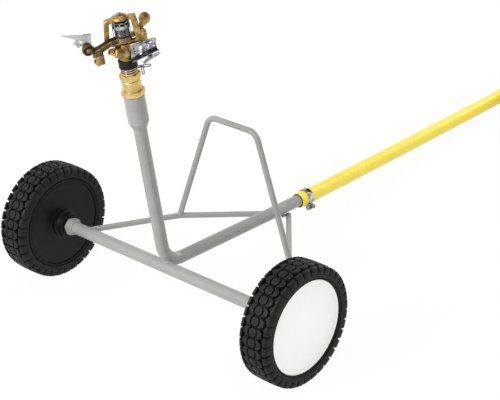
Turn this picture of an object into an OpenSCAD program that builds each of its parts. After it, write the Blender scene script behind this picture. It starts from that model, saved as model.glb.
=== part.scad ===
/* [Cart] */
// Sideways distance between the outer faces of the two wheels
track_w = 610; // [520:5:680]
// How far the cart leans back about its axle, so that the hose end comes down
lean_back = 6.5; // [5.5:0.1:7.5]
// Outside diameter of the half-inch frame pipe
pipe_d = 21.3; // [20.5:0.1:22.5]
// Wall thickness of the frame pipe
pipe_wall = 2.6; // [1.5:0.1:3.5]
// Height of the long pipe's centre above the axle's centre
pipe_up = 6.4; // [5:0.2:8]
// Length of the long pipe behind the axle
pipe_len = 375; // [370:1:380]

/* [Wheels] */
// Outside diameter of a tyre
wheel_d = 200; // [180:2:220]
// Width of a wheel
wheel_w = 55; // [45:1:65]
// Number of tread blocks round a tyre
tread_blocks = 36; // [24:4:44]
// Depth of the tread
tread_deep = 6; // [3:0.5:8]
// Diameter of the plastic rim
rim_d = 154; // [140:1:160]
// Diameter of the boss on the wheel's inner face
boss_d = 43; // [38:1:46]
// Diameter of the bolt that a wheel turns on
bolt_d = 12; // [10:0.5:14]
// Thickness of the white disc that closes a wheel
cover_t = 2; // [1.5:0.1:3]
// How far the white disc lies in from the wheel's outer face
cover_in = 3.4; // [2:0.2:5]

/* [Riser] */
// Forward lean of the riser from the upright, with the cart level
riser_lean = 10.6; // [8:0.1:12]
// Length of the riser from its corner to the socket's mouth
riser_len = 320; // [260:5:380]
// Centre-line radius of the bend under the riser
bend_r = 45; // [38:1:60]
// Outside diameter of the socket at the top of the riser
socket_d = 33.2; // [31:0.2:38]
// Length of the socket without its cone
socket_len = 47; // [35:1:60]

/* [Rods] */
// Diameter of the rods of the braces and the carrying arch
rod_d = 10; // [8:0.5:11]
// Distance of a brace's front end from the middle
brace_front = 195; // [175:1:205]
// Distance of a brace's bend from the middle
brace_mid = 127.3; // [115:1:140]
// Distance of the braces' bends and the arch behind the axle
arch_back = 161; // [140:1:180]
// Distance of the braces' rear ends behind the axle
brace_end = 300; // [285:1:310]
// Height of the arch's top above its feet
arch_h = 197; // [150:1:220]
// Width across the corners of the arch's top
arch_top_w = 104.8; // [90:1:120]

/* [Sprinkler] */
// Turn of the sprinkler from straight ahead
head_turn = 20; // [0:5:90]
// Distance across the flats of the hexagon that screws into the socket
adapter_af = 34; // [32:0.5:38]
// Distance across the flats of the bearing hexagon
bearing_af = 30; // [28:0.5:32]
// Diameter of the turning tube inside the bearing
spindle_d = 16; // [14:0.5:17]
// Bore of the water way
water_d = 10; // [8:0.5:11]
// Upward slope of the jet
jet_rise = 20; // [18:1:24]
// Height inside the bridge
bridge_h = 38; // [34:0.5:44]
// Width of the bridge's feet
bridge_w = 60; // [56:1:68]
// Thickness of the bridge's legs
bridge_t = 8; // [6:0.5:9]
// Diameter of the pin that the arm swings on
pin_d = 5; // [4:0.5:6]
// Length of the arm from its pin to the middle of the spoon
arm_reach = 44; // [42:0.5:48]
// Diameter of the disc at the arm's tail
weight_d = 18; // [14:0.5:20]
// Length of the deflector blade from the eye to its tip
blade_len = 54; // [48:1:60]

/* [Hose] */
// Outside diameter of the hose
hose_d = 26; // [26:0.5:28]
// Diameter of the mouth in the hose's end fitting
nut_bore = 26.4; // [25:0.2:27]

/* [Hidden] */
$fn = 48;
fit = 0.3;
run = 0.05;
grey = "#a9a9a7";
black = "#262626";
white = "#f5f5f3";
brass = "#c49a45";
bronze = "#7d6a45";
steel = "#b9bbbd";
yellow = "#efe04e";
rubber = "#2b2b2e";

wheel_r = wheel_d / 2;
pipe_r = pipe_d / 2;
bore_r = pipe_r - pipe_wall;
rod_r = rod_d / 2;
corner = [0, -2, pipe_up];
wheel_in = track_w / 2 - wheel_w;

// End of the axle tube, its hexagon and the washer next to the wheel
washer_t = 1.5;
boss_out = 14.5;
boss_step = 11.3;
boss_flange = 3.5;
boss_x = wheel_in - boss_out;
hex_len = 12;
tube_x = boss_x - washer_t - hex_len;
end_af = 27;
bolt_r = bolt_d / 2;
bolt_thread = 40;
bush_wall = 2.5;
bush_r = bolt_r + run + bush_wall;
boss_r = boss_d / 2;

// Rim, tyre and cover
rim_r = rim_d / 2;
tyre_in_r = rim_r + 3;
base_r = wheel_r - tread_deep;
shoulder = 8;
web_t = 5;
well_in = 6;
cover_x = track_w / 2 - cover_in - cover_t;
cover_r = rim_r + 0.8;
spoke_n = 8;
head_t = 8;

// Head's levels above the socket's mouth
adapter_h = 10;
adapter_top = 27;
bearing_top = 39;
collar_top = 49;
sleeve_top = 61.5;
neck_h = 11.5;
elbow_h = sleeve_top + neck_h;
wire_d = 1.8;
sleeve_r = 14.5;
neck_r = 10.6;
spindle_r = spindle_d / 2;
water_r = water_d / 2;
core_r = 12.5;
wire_r = wire_d / 2;
collar_a_h = 42.3;
collar_b_h = 46;
foot_rise = 17;
foot_drop = 1.5;
bridge_foot_h = elbow_h + foot_rise;
bridge_top_h = bridge_foot_h + bridge_h;
arm_h = bridge_foot_h + 8;
bridge_top_w = bridge_w - 12;
bridge_skew = 20;
barrel_r = 9;
barrel_front = 17;
nozzle_len = 11;
nozzle_r = 8;
plug_r = 4.5;
plug_seat = 15;
pin_r = pin_d / 2;
hub_r = 8;
hub_h = 10;
spring_r = 10.8;
spring_wire = 1.6;
spring_n = 9;
cap_t = 3;
cap_r = 12.9;
plate_t = 1.2;
trip_x = 12.5;

// Eye at the arm's front end, and the slope of the deflector blade that swings in it
eye_y = arm_reach + 14;
eye_h = arm_h - 0.5;
eye_r = 9;
eye_t = 6;
blade_slope = 43.9;

// Places of the clamp and the hose on the long pipe
cuff_y = 332;
cuff_r = hose_d / 2 + 1;
band_y = 347;
band_w = 12;
band_t = 1;
band_r = cuff_r + band_t;

// Vector and place helpers
function unit(v) = v / norm(v);
function tilt_x(p, a) = [p.x, p.y * cos(a) - p.z * sin(a), p.y * sin(a) + p.z * cos(a)];
function turn_z(p, a) = [p.x * cos(a) - p.y * sin(a), p.x * sin(a) + p.y * cos(a), p.z];
function on_head(p) = corner + tilt_x(turn_z(p, -head_turn) + [0, 0, riser_len], riser_lean);

// The cart's own front and rear, which centre it on the origin
blade_tip = [-eye_t / 2, -eye_y - blade_len * cos(blade_slope), eye_h + blade_len * sin(blade_slope)];
front_y = tilt_x(on_head(blade_tip), -lean_back).y;
rear_y = tilt_x([0, pipe_len, pipe_up + pipe_r], -lean_back).y;
mid_y = (front_y + rear_y) / 2;
function to_row(p) = tilt_x(p, -lean_back) + [0, -mid_y, wheel_r];

// Level cart standing with its axle's centre at the origin, leant back and set on the ground
module cart() translate([0, -mid_y, wheel_r]) rotate([-lean_back, 0, 0]) children();
// Space of one wheel: axle along +Z, pointing away from the cart
module wheel_side(side) translate([0, -mid_y, wheel_r]) rotate([0, side * 90, 0]) children();
// Space above the riser's socket, +Z along the riser
module head() cart() translate(corner) rotate([riser_lean, 0, 0]) translate([0, 0, riser_len]) children();
// Space of the turning sprinkler, its nozzle towards -Y
module sprinkler() head() rotate([0, 0, -head_turn]) children();

// Round bar from a to b
module bar(a, b, r) {
    d = b - a;
    translate(a) rotate([0, acos(d.z / norm(d)), atan2(d.y, d.x)]) cylinder(h = norm(d), r = r);
}

// Bend of a bar at p, from the line a-p to the line p-b; it is a hair thicker than the bars and
// laps them by a little, so that they join as one solid
lap = 1;
swell = 0.15;
module elbow(a, p, b, r, bend) {
    u = unit(p - a);
    v = unit(b - p);
    turn = acos(u * v);
    c = p + unit(v - u) * bend / cos(turn / 2);
    x = unit(p - u * bend * tan(turn / 2) - c);
    z = cross(x, u);
    over = lap / bend * 180 / PI;
    multmatrix([[x.x, u.x, z.x, c.x], [x.y, u.y, z.y, c.y], [x.z, u.z, z.z, c.z], [0, 0, 0, 1]])
        rotate([0, 0, -over]) rotate_extrude(angle = turn + 2 * over)
            translate([bend, 0]) circle(r = r + swell);
}

// Bar through a list of corners, bent round each inner one
function cut_back(pts, i, bend) =
    i == 0 || i == len(pts) - 1 ? 0 :
    bend * tan(acos(unit(pts[i] - pts[i - 1]) * unit(pts[i + 1] - pts[i])) / 2);
module bent_bar(pts, r, bend) {
    for (i = [0:len(pts) - 2]) {
        d = unit(pts[i + 1] - pts[i]);
        bar(pts[i] + d * cut_back(pts, i, bend), pts[i + 1] - d * cut_back(pts, i + 1, bend), r);
    }
    for (i = [1:len(pts) - 2]) elbow(pts[i - 1], pts[i], pts[i + 1], r, bend);
}

// Hexagonal prism across its flats, and a tube
module hexagon(af, h) cylinder(h = h, d = af / cos(30), $fn = 6);
module tube(h, r, inner) difference() {
    cylinder(h = h, r = r);
    translate([0, 0, -1]) cylinder(h = h + 2, r = inner);
}

// Frame
module axle_tube() color(grey) cart() difference() {
    rotate([0, 90, 0]) cylinder(h = 2 * tube_x, r = pipe_r, center = true);
    rotate([0, 90, 0]) cylinder(h = 2 * tube_x + 2, r = bore_r, center = true);
    riser_run(pipe_r);
}
module axle_end(side) color(grey) wheel_side(side) translate([0, 0, tube_x]) difference() {
    union() {
        hexagon(end_af, hex_len);
        translate([0, 0, -6]) cylinder(h = 6.01, r1 = pipe_r + 0.1, r2 = pipe_r + 2);
        translate([0, 0, -bolt_thread]) cylinder(h = bolt_thread, r = bore_r);
    }
    translate([0, 0, -bolt_thread - 1]) cylinder(h = bolt_thread + hex_len + 2, r = bolt_r);
    translate([0, 0, -6.1]) tube(6.1, pipe_r, bore_r);
}
module riser_run(r) {
    top = corner + tilt_x([0, 0, riser_len - socket_len - 11 + 4], riser_lean);
    bent_bar([[0, pipe_len, pipe_up], corner, top], r, bend_r);
}
module main_pipe() color(grey) cart() difference() {
    riser_run(pipe_r);
    riser_run_bore();
}
module riser_run_bore() {
    top = corner + tilt_x([0, 0, riser_len], riser_lean);
    bent_bar([[0, pipe_len + 1, pipe_up], corner, top], bore_r, bend_r);
}
cone_h = 11;
socket_bore_r = 13;
thread_deep = 22;
module riser_socket() color(grey) head() translate([0, 0, -socket_len]) difference() {
    union() {
        cylinder(h = socket_len, d = socket_d);
        translate([0, 0, -cone_h]) cylinder(h = cone_h + 0.01, r1 = pipe_r + 1.2, d2 = socket_d);
    }
    translate([0, 0, -cone_h - 1]) cylinder(h = 1 + 4, r = pipe_r);
    translate([0, 0, -cone_h]) cylinder(h = socket_len + cone_h + 1, r = bore_r);
    translate([0, 0, socket_len - thread_deep]) cylinder(h = thread_deep + 1, r = socket_bore_r);
}

// A brace lies from the axle tube to the long pipe's underside
brace_end_z = pipe_up - pipe_r - rod_r;
brace_mid_z = -3;
function brace_pts(s) = [
    [s * brace_front, pipe_r + rod_r - 2, 0],
    [s * brace_mid, arch_back, brace_mid_z],
    [s * (rod_r + 1), brace_end, brace_end_z]
];
module brace(side) color(grey) cart() bent_bar(brace_pts(side), rod_r, 18);
foot_z = brace_mid_z;
module carry_arch() color(grey) cart() difference() {
    bent_bar([
        [-brace_mid, arch_back, foot_z], [-arch_top_w / 2, arch_back, foot_z + rod_d + arch_h],
        [arch_top_w / 2, arch_back, foot_z + rod_d + arch_h], [brace_mid, arch_back, foot_z]
    ], rod_r, 22);
    for (s = [-1, 1]) bent_bar(brace_pts(s), rod_r, 18);
}

// Wheels, drawn with the axle along +Z and the outer face at the top
module tread_band(z, h, a0, wide, deep) {
    for (i = [0:tread_blocks - 1]) rotate([0, 0, (i + a0) * 360 / tread_blocks])
        translate([base_r - 1.5, -wide / 2, z]) cube([deep + 1.5, wide, h]);
}
module tyre(side) color(rubber) wheel_side(side) translate([0, 0, wheel_in]) {
    pitch = 2 * PI * wheel_r / tread_blocks;
    difference() {
        rotate_extrude($fn = 96) polygon([
            [tyre_in_r, 2], [base_r - shoulder, 0], [base_r, shoulder], [base_r, wheel_w - shoulder],
            [base_r - shoulder, wheel_w], [tyre_in_r, wheel_w - 2]
        ]);
        translate([0, 0, -1]) cylinder(h = wheel_w + 2, r = tyre_in_r);
    }
    intersection() {
        union() {
            tread_band(0.5, wheel_w * 0.26, 0, pitch * 0.62, tread_deep);
            tread_band(wheel_w * 0.33, wheel_w * 0.34, 0.5, pitch * 0.68, tread_deep);
            tread_band(wheel_w * 0.74 - 0.5, wheel_w * 0.26, 0, pitch * 0.62, tread_deep);
        }
        rotate_extrude($fn = 96) polygon([
            [base_r - 4, 0.5], [wheel_r - shoulder, 0.5], [wheel_r, shoulder], [wheel_r, wheel_w - shoulder],
            [wheel_r - shoulder, wheel_w - 0.5], [base_r - 4, wheel_w - 0.5]
        ]);
    }
}
module rim(side) color(black) wheel_side(side) difference() {
    union() {
        translate([0, 0, wheel_in + 2]) tube(wheel_w - 4, tyre_in_r, rim_r - 4);
        translate([0, 0, wheel_in + well_in]) cylinder(h = web_t, r = rim_r - 3);
        translate([0, 0, boss_x]) cylinder(h = cover_x - head_t - 4 - boss_x, r = boss_r);
        translate([0, 0, boss_x + boss_step])
            cylinder(h = boss_out - boss_step + well_in + 1, r = boss_r + boss_flange);
        for (i = [0:spoke_n - 1]) rotate([0, 0, i * 360 / spoke_n])
            translate([boss_r - 1, -1.5, wheel_in + well_in + 1]) cube([rim_r - boss_r - 2, 3, wheel_w - 22]);
    }
    translate([0, 0, boss_x - 1]) cylinder(h = wheel_w + 10, r = bush_r);
    translate([0, 0, cover_x - 0.01]) cylinder(h = 10, r = cover_r + 0.1);
}
module cover(side) color(white) wheel_side(side) translate([0, 0, cover_x]) {
    cylinder(h = cover_t, r = cover_r);
    translate([0, 0, -5]) tube(5.01, rim_r - 4, rim_r - 6);
}
bush_len = cover_x - head_t - 4 - boss_x;
module bush(side) color(white) wheel_side(side) translate([0, 0, boss_x])
    tube(bush_len, bush_r, bolt_r + run);
module bolt(side) color(steel) wheel_side(side) translate([0, 0, boss_x]) {
    translate([0, 0, -washer_t - hex_len - bolt_thread + 4])
        cylinder(h = washer_t + hex_len + bolt_thread - 4 + bush_len + fit, r = bolt_r);
    translate([0, 0, bush_len + fit]) hexagon(18, head_t);
    translate([0, 0, bush_len + fit]) cylinder(h = 1.5, r = 11.5);
}
module washer(side) color(black) wheel_side(side) translate([0, 0, tube_x + hex_len])
    tube(washer_t - fit, 15.5, bolt_r);

// Sprinkler's inlet and bearing
module inlet_adapter() color(brass) head() difference() {
    union() {
        hexagon(adapter_af, adapter_h);
        translate([0, 0, adapter_h - 0.01]) cylinder(h = adapter_top - adapter_h + 0.01, r = 15);
        translate([0, 0, -thread_deep + 2]) cylinder(h = thread_deep - 2, r = socket_bore_r);
    }
    translate([0, 0, -thread_deep + 1]) cylinder(h = thread_deep + adapter_top, r = bore_r);
    translate([0, 0, adapter_top - 14]) cylinder(h = 15, r = 11);
}
groove_w = wire_d + 0.2;
module bearing_nipple() color(brass) head() difference() {
    union() {
        translate([0, 0, adapter_top]) hexagon(bearing_af, bearing_top - adapter_top);
        translate([0, 0, adapter_top - 12]) cylinder(h = 12.01, r = 11);
        translate([0, 0, bearing_top - 0.01]) cylinder(h = collar_top - bearing_top, r = core_r);
    }
    translate([0, 0, adapter_top - 13]) cylinder(h = 40, r = spindle_r + run);
    translate([0, 0, adapter_top - 13]) cylinder(h = 7, r = spindle_r + 2);
    for (h = [collar_a_h, collar_b_h]) translate([0, 0, h - groove_w / 2])
        tube(groove_w, core_r + 1, core_r - 1);
}
// A wire collar is a ring in its groove with a finger loop
collar_r = core_r - 1 + fit / 3 + wire_r;
module collar_ring(h) translate([0, 0, h]) rotate_extrude()
    translate([collar_r, 0]) circle(r = wire_r, $fn = 24);
// Hairpin of wire along +X from the ring, its legs half apart from the middle
module hairpin(from, reach, half) {
    for (s = [-1, 1]) bar([from, s * half, 0], [reach, s * half, 0], wire_r);
    translate([reach, 0, 0]) rotate([0, 0, -90]) rotate([0, 0, -5]) rotate_extrude(angle = 190)
        translate([half, 0]) circle(r = wire_r + swell, $fn = 24);
}
upper_at = 45;
lower_at = 72;
upper_reach = 18.5;
upper_half = 3.4;
lower_out = 9;
lower_drop = 13;
lower_half = 2.2;
module collar_upper() color(steel) head() {
    collar_ring(collar_b_h);
    translate([0, 0, collar_b_h]) rotate([0, 0, upper_at])
        hairpin(collar_r - 1, collar_r + upper_reach, upper_half);
}
module collar_lower() color(steel) head() {
    collar_ring(collar_a_h);
    translate([0, 0, collar_a_h]) rotate([0, 0, lower_at]) {
        for (s = [-1, 1])
            bar([collar_r, s * lower_half, 0], [collar_r + lower_out, s * lower_half, 0], wire_r);
        for (s = [-1, 1]) translate([collar_r + lower_out, s * lower_half, 0]) sphere(r = wire_r, $fn = 24);
        translate([collar_r + lower_out, 0, 0]) rotate([0, 90, 0]) hairpin(0, lower_drop, lower_half);
    }
}

// Round wire wound as a spring round +Z, from the points that its helix gives
function coil_point(i, per, r, pitch) = [r * cos(i * 360 / per), r * sin(i * 360 / per), pitch * i / per];
module wound_wire(n, r, pitch, wire, sides = 6, per = 8) {
    count = n * per;
    ring = [for (i = [0:count]) for (k = [0:sides - 1])
        let (p = coil_point(i, per, r, pitch), a = 360 * k / sides, out = p - [0, 0, p.z])
        p + unit(out) * wire * cos(a) + [0, 0, wire * sin(a)]];
    side = [for (i = [0:count - 1]) for (k = [0:sides - 1]) for (t = [0, 1])
        let (a = i * sides + k, b = i * sides + (k + 1) % sides)
        t == 0 ? [a, b, b + sides] : [a, b + sides, a + sides]];
    first = [for (k = [1:sides - 2]) [0, k + 1, k]];
    cap_b = [for (k = [1:sides - 2]) [count * sides, count * sides + k, count * sides + k + 1]];
    polyhedron(points = ring, faces = concat(side, first, cap_b));
}
bearing_turns = 3;
bearing_wire = 1;
sleeve_web = 2;
bearing_pitch = (sleeve_top - collar_top - sleeve_web - 2 * bearing_wire - 2 * fit) / bearing_turns;
module bearing_spring() color(steel) sprinkler() translate([0, 0, collar_top + bearing_wire + fit])
    wound_wire(bearing_turns, spindle_r + 1.8, bearing_pitch, bearing_wire);
module dust_sleeve() color(rubber) sprinkler() translate([0, 0, collar_top + fit]) difference() {
    cylinder(h = sleeve_top - collar_top - fit, r = sleeve_r);
    translate([0, 0, -1]) cylinder(h = sleeve_top - sleeve_web - collar_top - fit + 1, r = core_r - 0.5);
    cylinder(h = sleeve_top, r = spindle_r);
}

// Spindle that turns in the bearing nipple, and the body on it with its elbow, barrel and bridge
spindle_seat = 5;
spindle_low = adapter_top - 8;
module spindle() color(brass) sprinkler() difference() {
    translate([0, 0, spindle_low]) cylinder(h = sleeve_top + spindle_seat - spindle_low, r = spindle_r);
    translate([0, 0, spindle_low - 1]) cylinder(h = sleeve_top, r = water_r);
}
module bridge_outline() difference() {
    polygon([
        [-bridge_w / 2, bridge_foot_h - foot_drop], [-bridge_top_w / 2, bridge_top_h + 5],
        [bridge_top_w / 2, bridge_top_h + 5], [bridge_w / 2, bridge_foot_h - foot_drop]
    ]);
    polygon([[-bridge_w / 2 + 9, bridge_foot_h + 3], [-bridge_top_w / 2 + 7, bridge_top_h - 3],
        [bridge_top_w / 2 - 7, bridge_top_h - 3], [bridge_w / 2 - 9, bridge_foot_h + 3]]);
}
dome_r = 13;
module sprinkler_body() color(brass) sprinkler() difference() {
    union() {
        translate([0, 0, sleeve_top]) cylinder(h = elbow_h - sleeve_top, r = neck_r);
        translate([0, 0, elbow_h]) sphere(r = neck_r + 0.6);
        translate([0, 0, elbow_h]) rotate([90 - jet_rise, 0, 0]) cylinder(h = barrel_front, r = barrel_r);
        translate([0, 0, elbow_h]) rotate([-90, 0, 0]) cylinder(h = plug_seat, r = plug_r + 2.5);
        translate([0, 0, elbow_h]) cylinder(h = bridge_foot_h - elbow_h, r1 = 9, r2 = 7.5);
        rotate([0, 0, 90 - bridge_skew]) rotate([90, 0, 0])
            linear_extrude(height = bridge_t, center = true) bridge_outline();
        translate([0, 0, bridge_top_h - 3]) cylinder(h = 7.01, r = dome_r);
        translate([0, 0, bridge_top_h + 4]) cylinder(h = 4, r1 = dome_r, r2 = 7);
        rotate([0, 0, -bridge_skew]) translate([-5, bridge_w / 2 - 6, bridge_foot_h - 1]) cube([10, 12, 14]);
    }
    translate([0, 0, sleeve_top - 1]) cylinder(h = spindle_seat + 1, r = spindle_r);
    translate([0, 0, sleeve_top]) cylinder(h = elbow_h - sleeve_top + water_r * 0.8, r = water_r);
    translate([0, 0, elbow_h]) rotate([90 - jet_rise, 0, 0])
        cylinder(h = barrel_front + 1, r = water_r + 0.2);
    translate([0, 0, elbow_h]) rotate([-90, 0, 0]) cylinder(h = plug_seat + 1, r = plug_r);
    translate([0, 0, bridge_foot_h - 6]) cylinder(h = bridge_h + 30, r = pin_r);
    translate([0, 0, elbow_h]) rotate([90 - jet_rise, 0, 0]) translate([0, 0, barrel_front])
        cylinder(h = nozzle_len, r = nozzle_r + fit);
}
module rear_plug() color(brass) sprinkler() translate([0, 0, elbow_h]) rotate([-90, 0, 0]) {
    translate([0, 0, plug_seat - 7]) cylinder(h = 7, r = plug_r);
    translate([0, 0, plug_seat]) hexagon(12, 4);
}
module nozzle() color(brass) sprinkler() translate([0, 0, elbow_h])
rotate([90 - jet_rise, 0, 0]) difference() {
    union() {
        translate([0, 0, barrel_front - 8]) cylinder(h = 8, r = water_r + 0.2);
        translate([0, 0, barrel_front]) cylinder(h = 2.5, r = nozzle_r);
        translate([0, 0, barrel_front + 2.5]) hexagon(11, 4.5);
        translate([0, 0, barrel_front + 7]) cylinder(h = nozzle_len - 7, r1 = 5, r2 = 4.4);
    }
    translate([0, 0, barrel_front - 9]) cylinder(h = nozzle_len + 10, r = 2.4);
}

// Arm, its pin and spring
hub_low = bridge_foot_h + 3 + fit;
cap_h = bridge_top_h - 3 - cap_t;
module fulcrum_pin() color(steel) sprinkler() difference() {
    union() {
        translate([0, 0, bridge_foot_h - 5]) cylinder(h = bridge_top_h + 13 - bridge_foot_h, r = pin_r);
        translate([0, 0, bridge_top_h + 8]) cylinder(h = 2.5, r = pin_r + 1);
    }
    translate([-pin_d, -0.5, bridge_top_h + 9.2]) cube([2 * pin_d, 1, 3]);
}
module spring_cap() color(steel) sprinkler() rotate([0, 0, -bridge_skew]) difference() {
    union() {
        translate([0, 0, cap_h]) cylinder(h = cap_t - fit, r = cap_r);
        for (s = [-1, 1]) translate([-3, s * (cap_r + 0.7) - 0.5, hub_low + hub_h + 1])
            cube([6, 1, cap_h - hub_low - hub_h + 1]);
        for (s = [-1, 1]) translate([-3, s * (cap_r + 0.2) - 1, cap_h]) cube([6, 2, cap_t - fit]);
    }
    translate([0, 0, cap_h - 1]) cylinder(h = cap_t + 2, r = pin_r);
}
arm_spring_h = cap_h - hub_low - hub_h - 2 * (spring_wire / 2 + fit);
arm_pitch = arm_spring_h / spring_n;
module arm_spring() color(steel) sprinkler()
    translate([0, 0, hub_low + hub_h + spring_wire / 2 + fit])
    wound_wire(spring_n, spring_r, arm_pitch, spring_wire / 2);

// Outline in the arm's upright plane, drawn forwards and upwards, as a plate about x
module side_plate(x, t) translate([x - t / 2, 0, 0]) rotate([90, 0, -90])
    translate([0, 0, -t]) linear_extrude(height = t) children();
screw_r = 2.5;
arm_t = 6;
arm_root = 22;
hub_top = hub_low + hub_h;
spoon_w = 16;
spoon_l = 12.5;
spoon_wall = 4;
spoon_roof = 5;
spoon_low = elbow_h - 4;
spoon_top = arm_h - 3;
tail_y = 39;
tail_h = arm_h + 19.4;
module drive_arm() color(bronze) sprinkler() difference() {
    union() {
        translate([0, 0, hub_low]) cylinder(h = hub_h, r = hub_r);
        side_plate(0, arm_t) polygon([[3, hub_low + 0.7], [arm_root, hub_low + 0.7],
            [arm_reach + 3, spoon_top - 9], [arm_reach + 3, spoon_top],
            [arm_root, hub_top - 3.3], [3, hub_top - 1.3]]);
        translate([-spoon_w / 2, -arm_reach - spoon_l / 2, spoon_top - spoon_roof])
            cube([spoon_w, spoon_l, spoon_roof]);
        translate([spoon_w / 2 - spoon_wall, -arm_reach - spoon_l / 2, spoon_low])
            cube([spoon_wall, spoon_l, spoon_top - spoon_low]);
        translate([-spoon_w / 2, -arm_reach - spoon_l / 2, spoon_low]) cube([spoon_w, spoon_l, 2.5]);
        translate([0, -arm_reach + 1, spoon_low]) intersection() {
            tube(spoon_top - spoon_low - 3, spoon_w / 2, spoon_w / 2 - 2);
            translate([-spoon_w, -spoon_w, 0]) cube([spoon_w, spoon_w + 2, spoon_top]);
        }
        side_plate(0, arm_t - 1) polygon([[arm_reach + 2, spoon_top - 7], [arm_reach + 2, spoon_top],
            [eye_y - 5, eye_h + 7.5], [eye_y, eye_h], [eye_y - 3, eye_h - 8]]);
        translate([-eye_t / 2, -eye_y, eye_h]) rotate([0, 90, 0]) cylinder(h = eye_t, r = eye_r);
        side_plate(0, arm_t) polygon([[-3, hub_low + 0.7], [-3, hub_top - 1.3], [11 - tail_y, hub_top - 0.3],
            [5 - tail_y, tail_h - 4.4], [-3 - tail_y, tail_h - 7.4], [6 - tail_y, hub_low + 2.7]]);
        translate([-arm_t / 2, tail_y, tail_h]) rotate([0, 90, 0]) cylinder(h = arm_t, d = weight_d);
    }
    translate([0, 0, hub_low - 1]) cylinder(h = hub_h + 2, r = pin_r + run);
    translate([-eye_t, -eye_y, eye_h]) rotate([0, 90, 0]) cylinder(h = 2 * eye_t, r = screw_r);
}
blade_t = 1;
module deflector() color(steel) sprinkler() difference() {
    side_plate(-eye_t / 2 - fit - blade_t / 2, blade_t) polygon(concat(
        [[eye_y - 7, eye_h + 23.5], [eye_y + 1, eye_h + 25.5], [-blade_tip.y, blade_tip.z],
            [eye_y + 12, eye_h + 16.5], [eye_y + 18, eye_h + 13.5], [eye_y + 17, eye_h + 7.5],
            [eye_y + 8, eye_h + 9.5]],
        [for (a = [0:-15:-180]) [eye_y + 7.4 * cos(a), eye_h + 7.4 * sin(a)]]));
    translate([-eye_t - 2, -eye_y, eye_h]) rotate([0, 90, 0]) cylinder(h = 8, r = screw_r + run);
    translate([-eye_t - 2, -eye_y - 13, eye_h + 11.1]) rotate([0, 90, 0]) cylinder(h = 8, r = 1.5);
}
module deflector_screw() color(steel) sprinkler() translate([0, -eye_y, eye_h]) rotate([0, 90, 0]) {
    translate([0, 0, -eye_t / 2 - 2 * fit - blade_t])
        cylinder(h = eye_t + 2 * fit + blade_t + 0.01, r = screw_r);
    translate([0, 0, eye_t / 2]) cylinder(h = 2, r = 4.3);
    translate([0, 0, -eye_t / 2 - 2 * fit - blade_t - 2]) cylinder(h = 2, r = 4);
}

// Trip: plate beside the body with a flange along its lower edge, lever on its pin, spring and rivets
plate_low = elbow_h - 10;
plate_end = elbow_h - 4.6;
trip_top = bridge_foot_h - foot_drop - fit;
plate_from = 1.3;
plate_to = 46;
flange_w = 7;
flange_slope = atan((plate_end - plate_low) / (plate_to - plate_from));
trip_pin_y = 32;
trip_pin_h = elbow_h - 11;
lever_x = trip_x + plate_t + flange_w / 2;
module trip_bracket() color(steel) sprinkler() difference() {
    union() {
        translate([trip_x, 0, 0]) rotate([90, 0, 90]) linear_extrude(height = plate_t) polygon([
            [plate_from, plate_low], [plate_from + 3.7, trip_top],
            [plate_to - 2.6, trip_top], [plate_to, plate_end]
        ]);
        translate([trip_x, plate_from, plate_low]) rotate([flange_slope, 0, 0])
            cube([plate_t + flange_w, (plate_to - plate_from) / cos(flange_slope), plate_t]);
        translate([trip_x, trip_pin_y - 4, trip_pin_h - 4]) cube([plate_t, 8, 12]);
    }
    for (p = [[19.5, 16, 3], [18.2, 6.5, 2], [36.7, 20, 2.2]])
        translate([trip_x - 1, p.x, plate_low + p.y]) rotate([0, 90, 0]) cylinder(h = 3, r = p.z);
    translate([trip_x - 1, trip_pin_y, trip_pin_h]) rotate([0, 90, 0]) cylinder(h = 3, r = 1.5);
}
module trip_rivets() color(steel) sprinkler()
    for (p = [[9, 12], [30, 14]]) translate([trip_x + plate_t, p.x, plate_low + p.y]) rotate([0, 90, 0])
        cylinder(h = 1.4, r1 = 2.2, r2 = 1.6);
module trip_pin() color(steel) sprinkler() translate([trip_x, trip_pin_y, trip_pin_h]) rotate([0, 90, 0]) {
    cylinder(h = lever_x - trip_x + 2 + fit + 1.5, r = 1.5);
    translate([0, 0, lever_x - trip_x + 2 + fit]) cylinder(h = 1.5, r = 2.6);
    translate([0, 0, plate_t]) cylinder(h = lever_x - trip_x - plate_t - fit, r = 2.4);
}
module trip_lever() color(steel) sprinkler() difference() {
    translate([lever_x, trip_pin_y, trip_pin_h]) rotate([90, 0, 90]) linear_extrude(height = 2) polygon([
        [-13.5, -9], [-14, -5.5], [-7, -0.5], [-2, 2], [3, 2],
        [14, 3], [16.5, 0], [14, -1.5], [5, -3.5], [-5, -5.5]
    ]);
    translate([lever_x - 1, trip_pin_y, trip_pin_h]) rotate([0, 90, 0]) cylinder(h = 4, r = 1.5 + run);
}
trip_turns = 5;
module trip_spring() color(steel) sprinkler() translate([lever_x, 25, plate_low + 3 + plate_t + 0.55])
    wound_wire(trip_turns, 2.2, 1.9, 0.45, 6);

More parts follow.
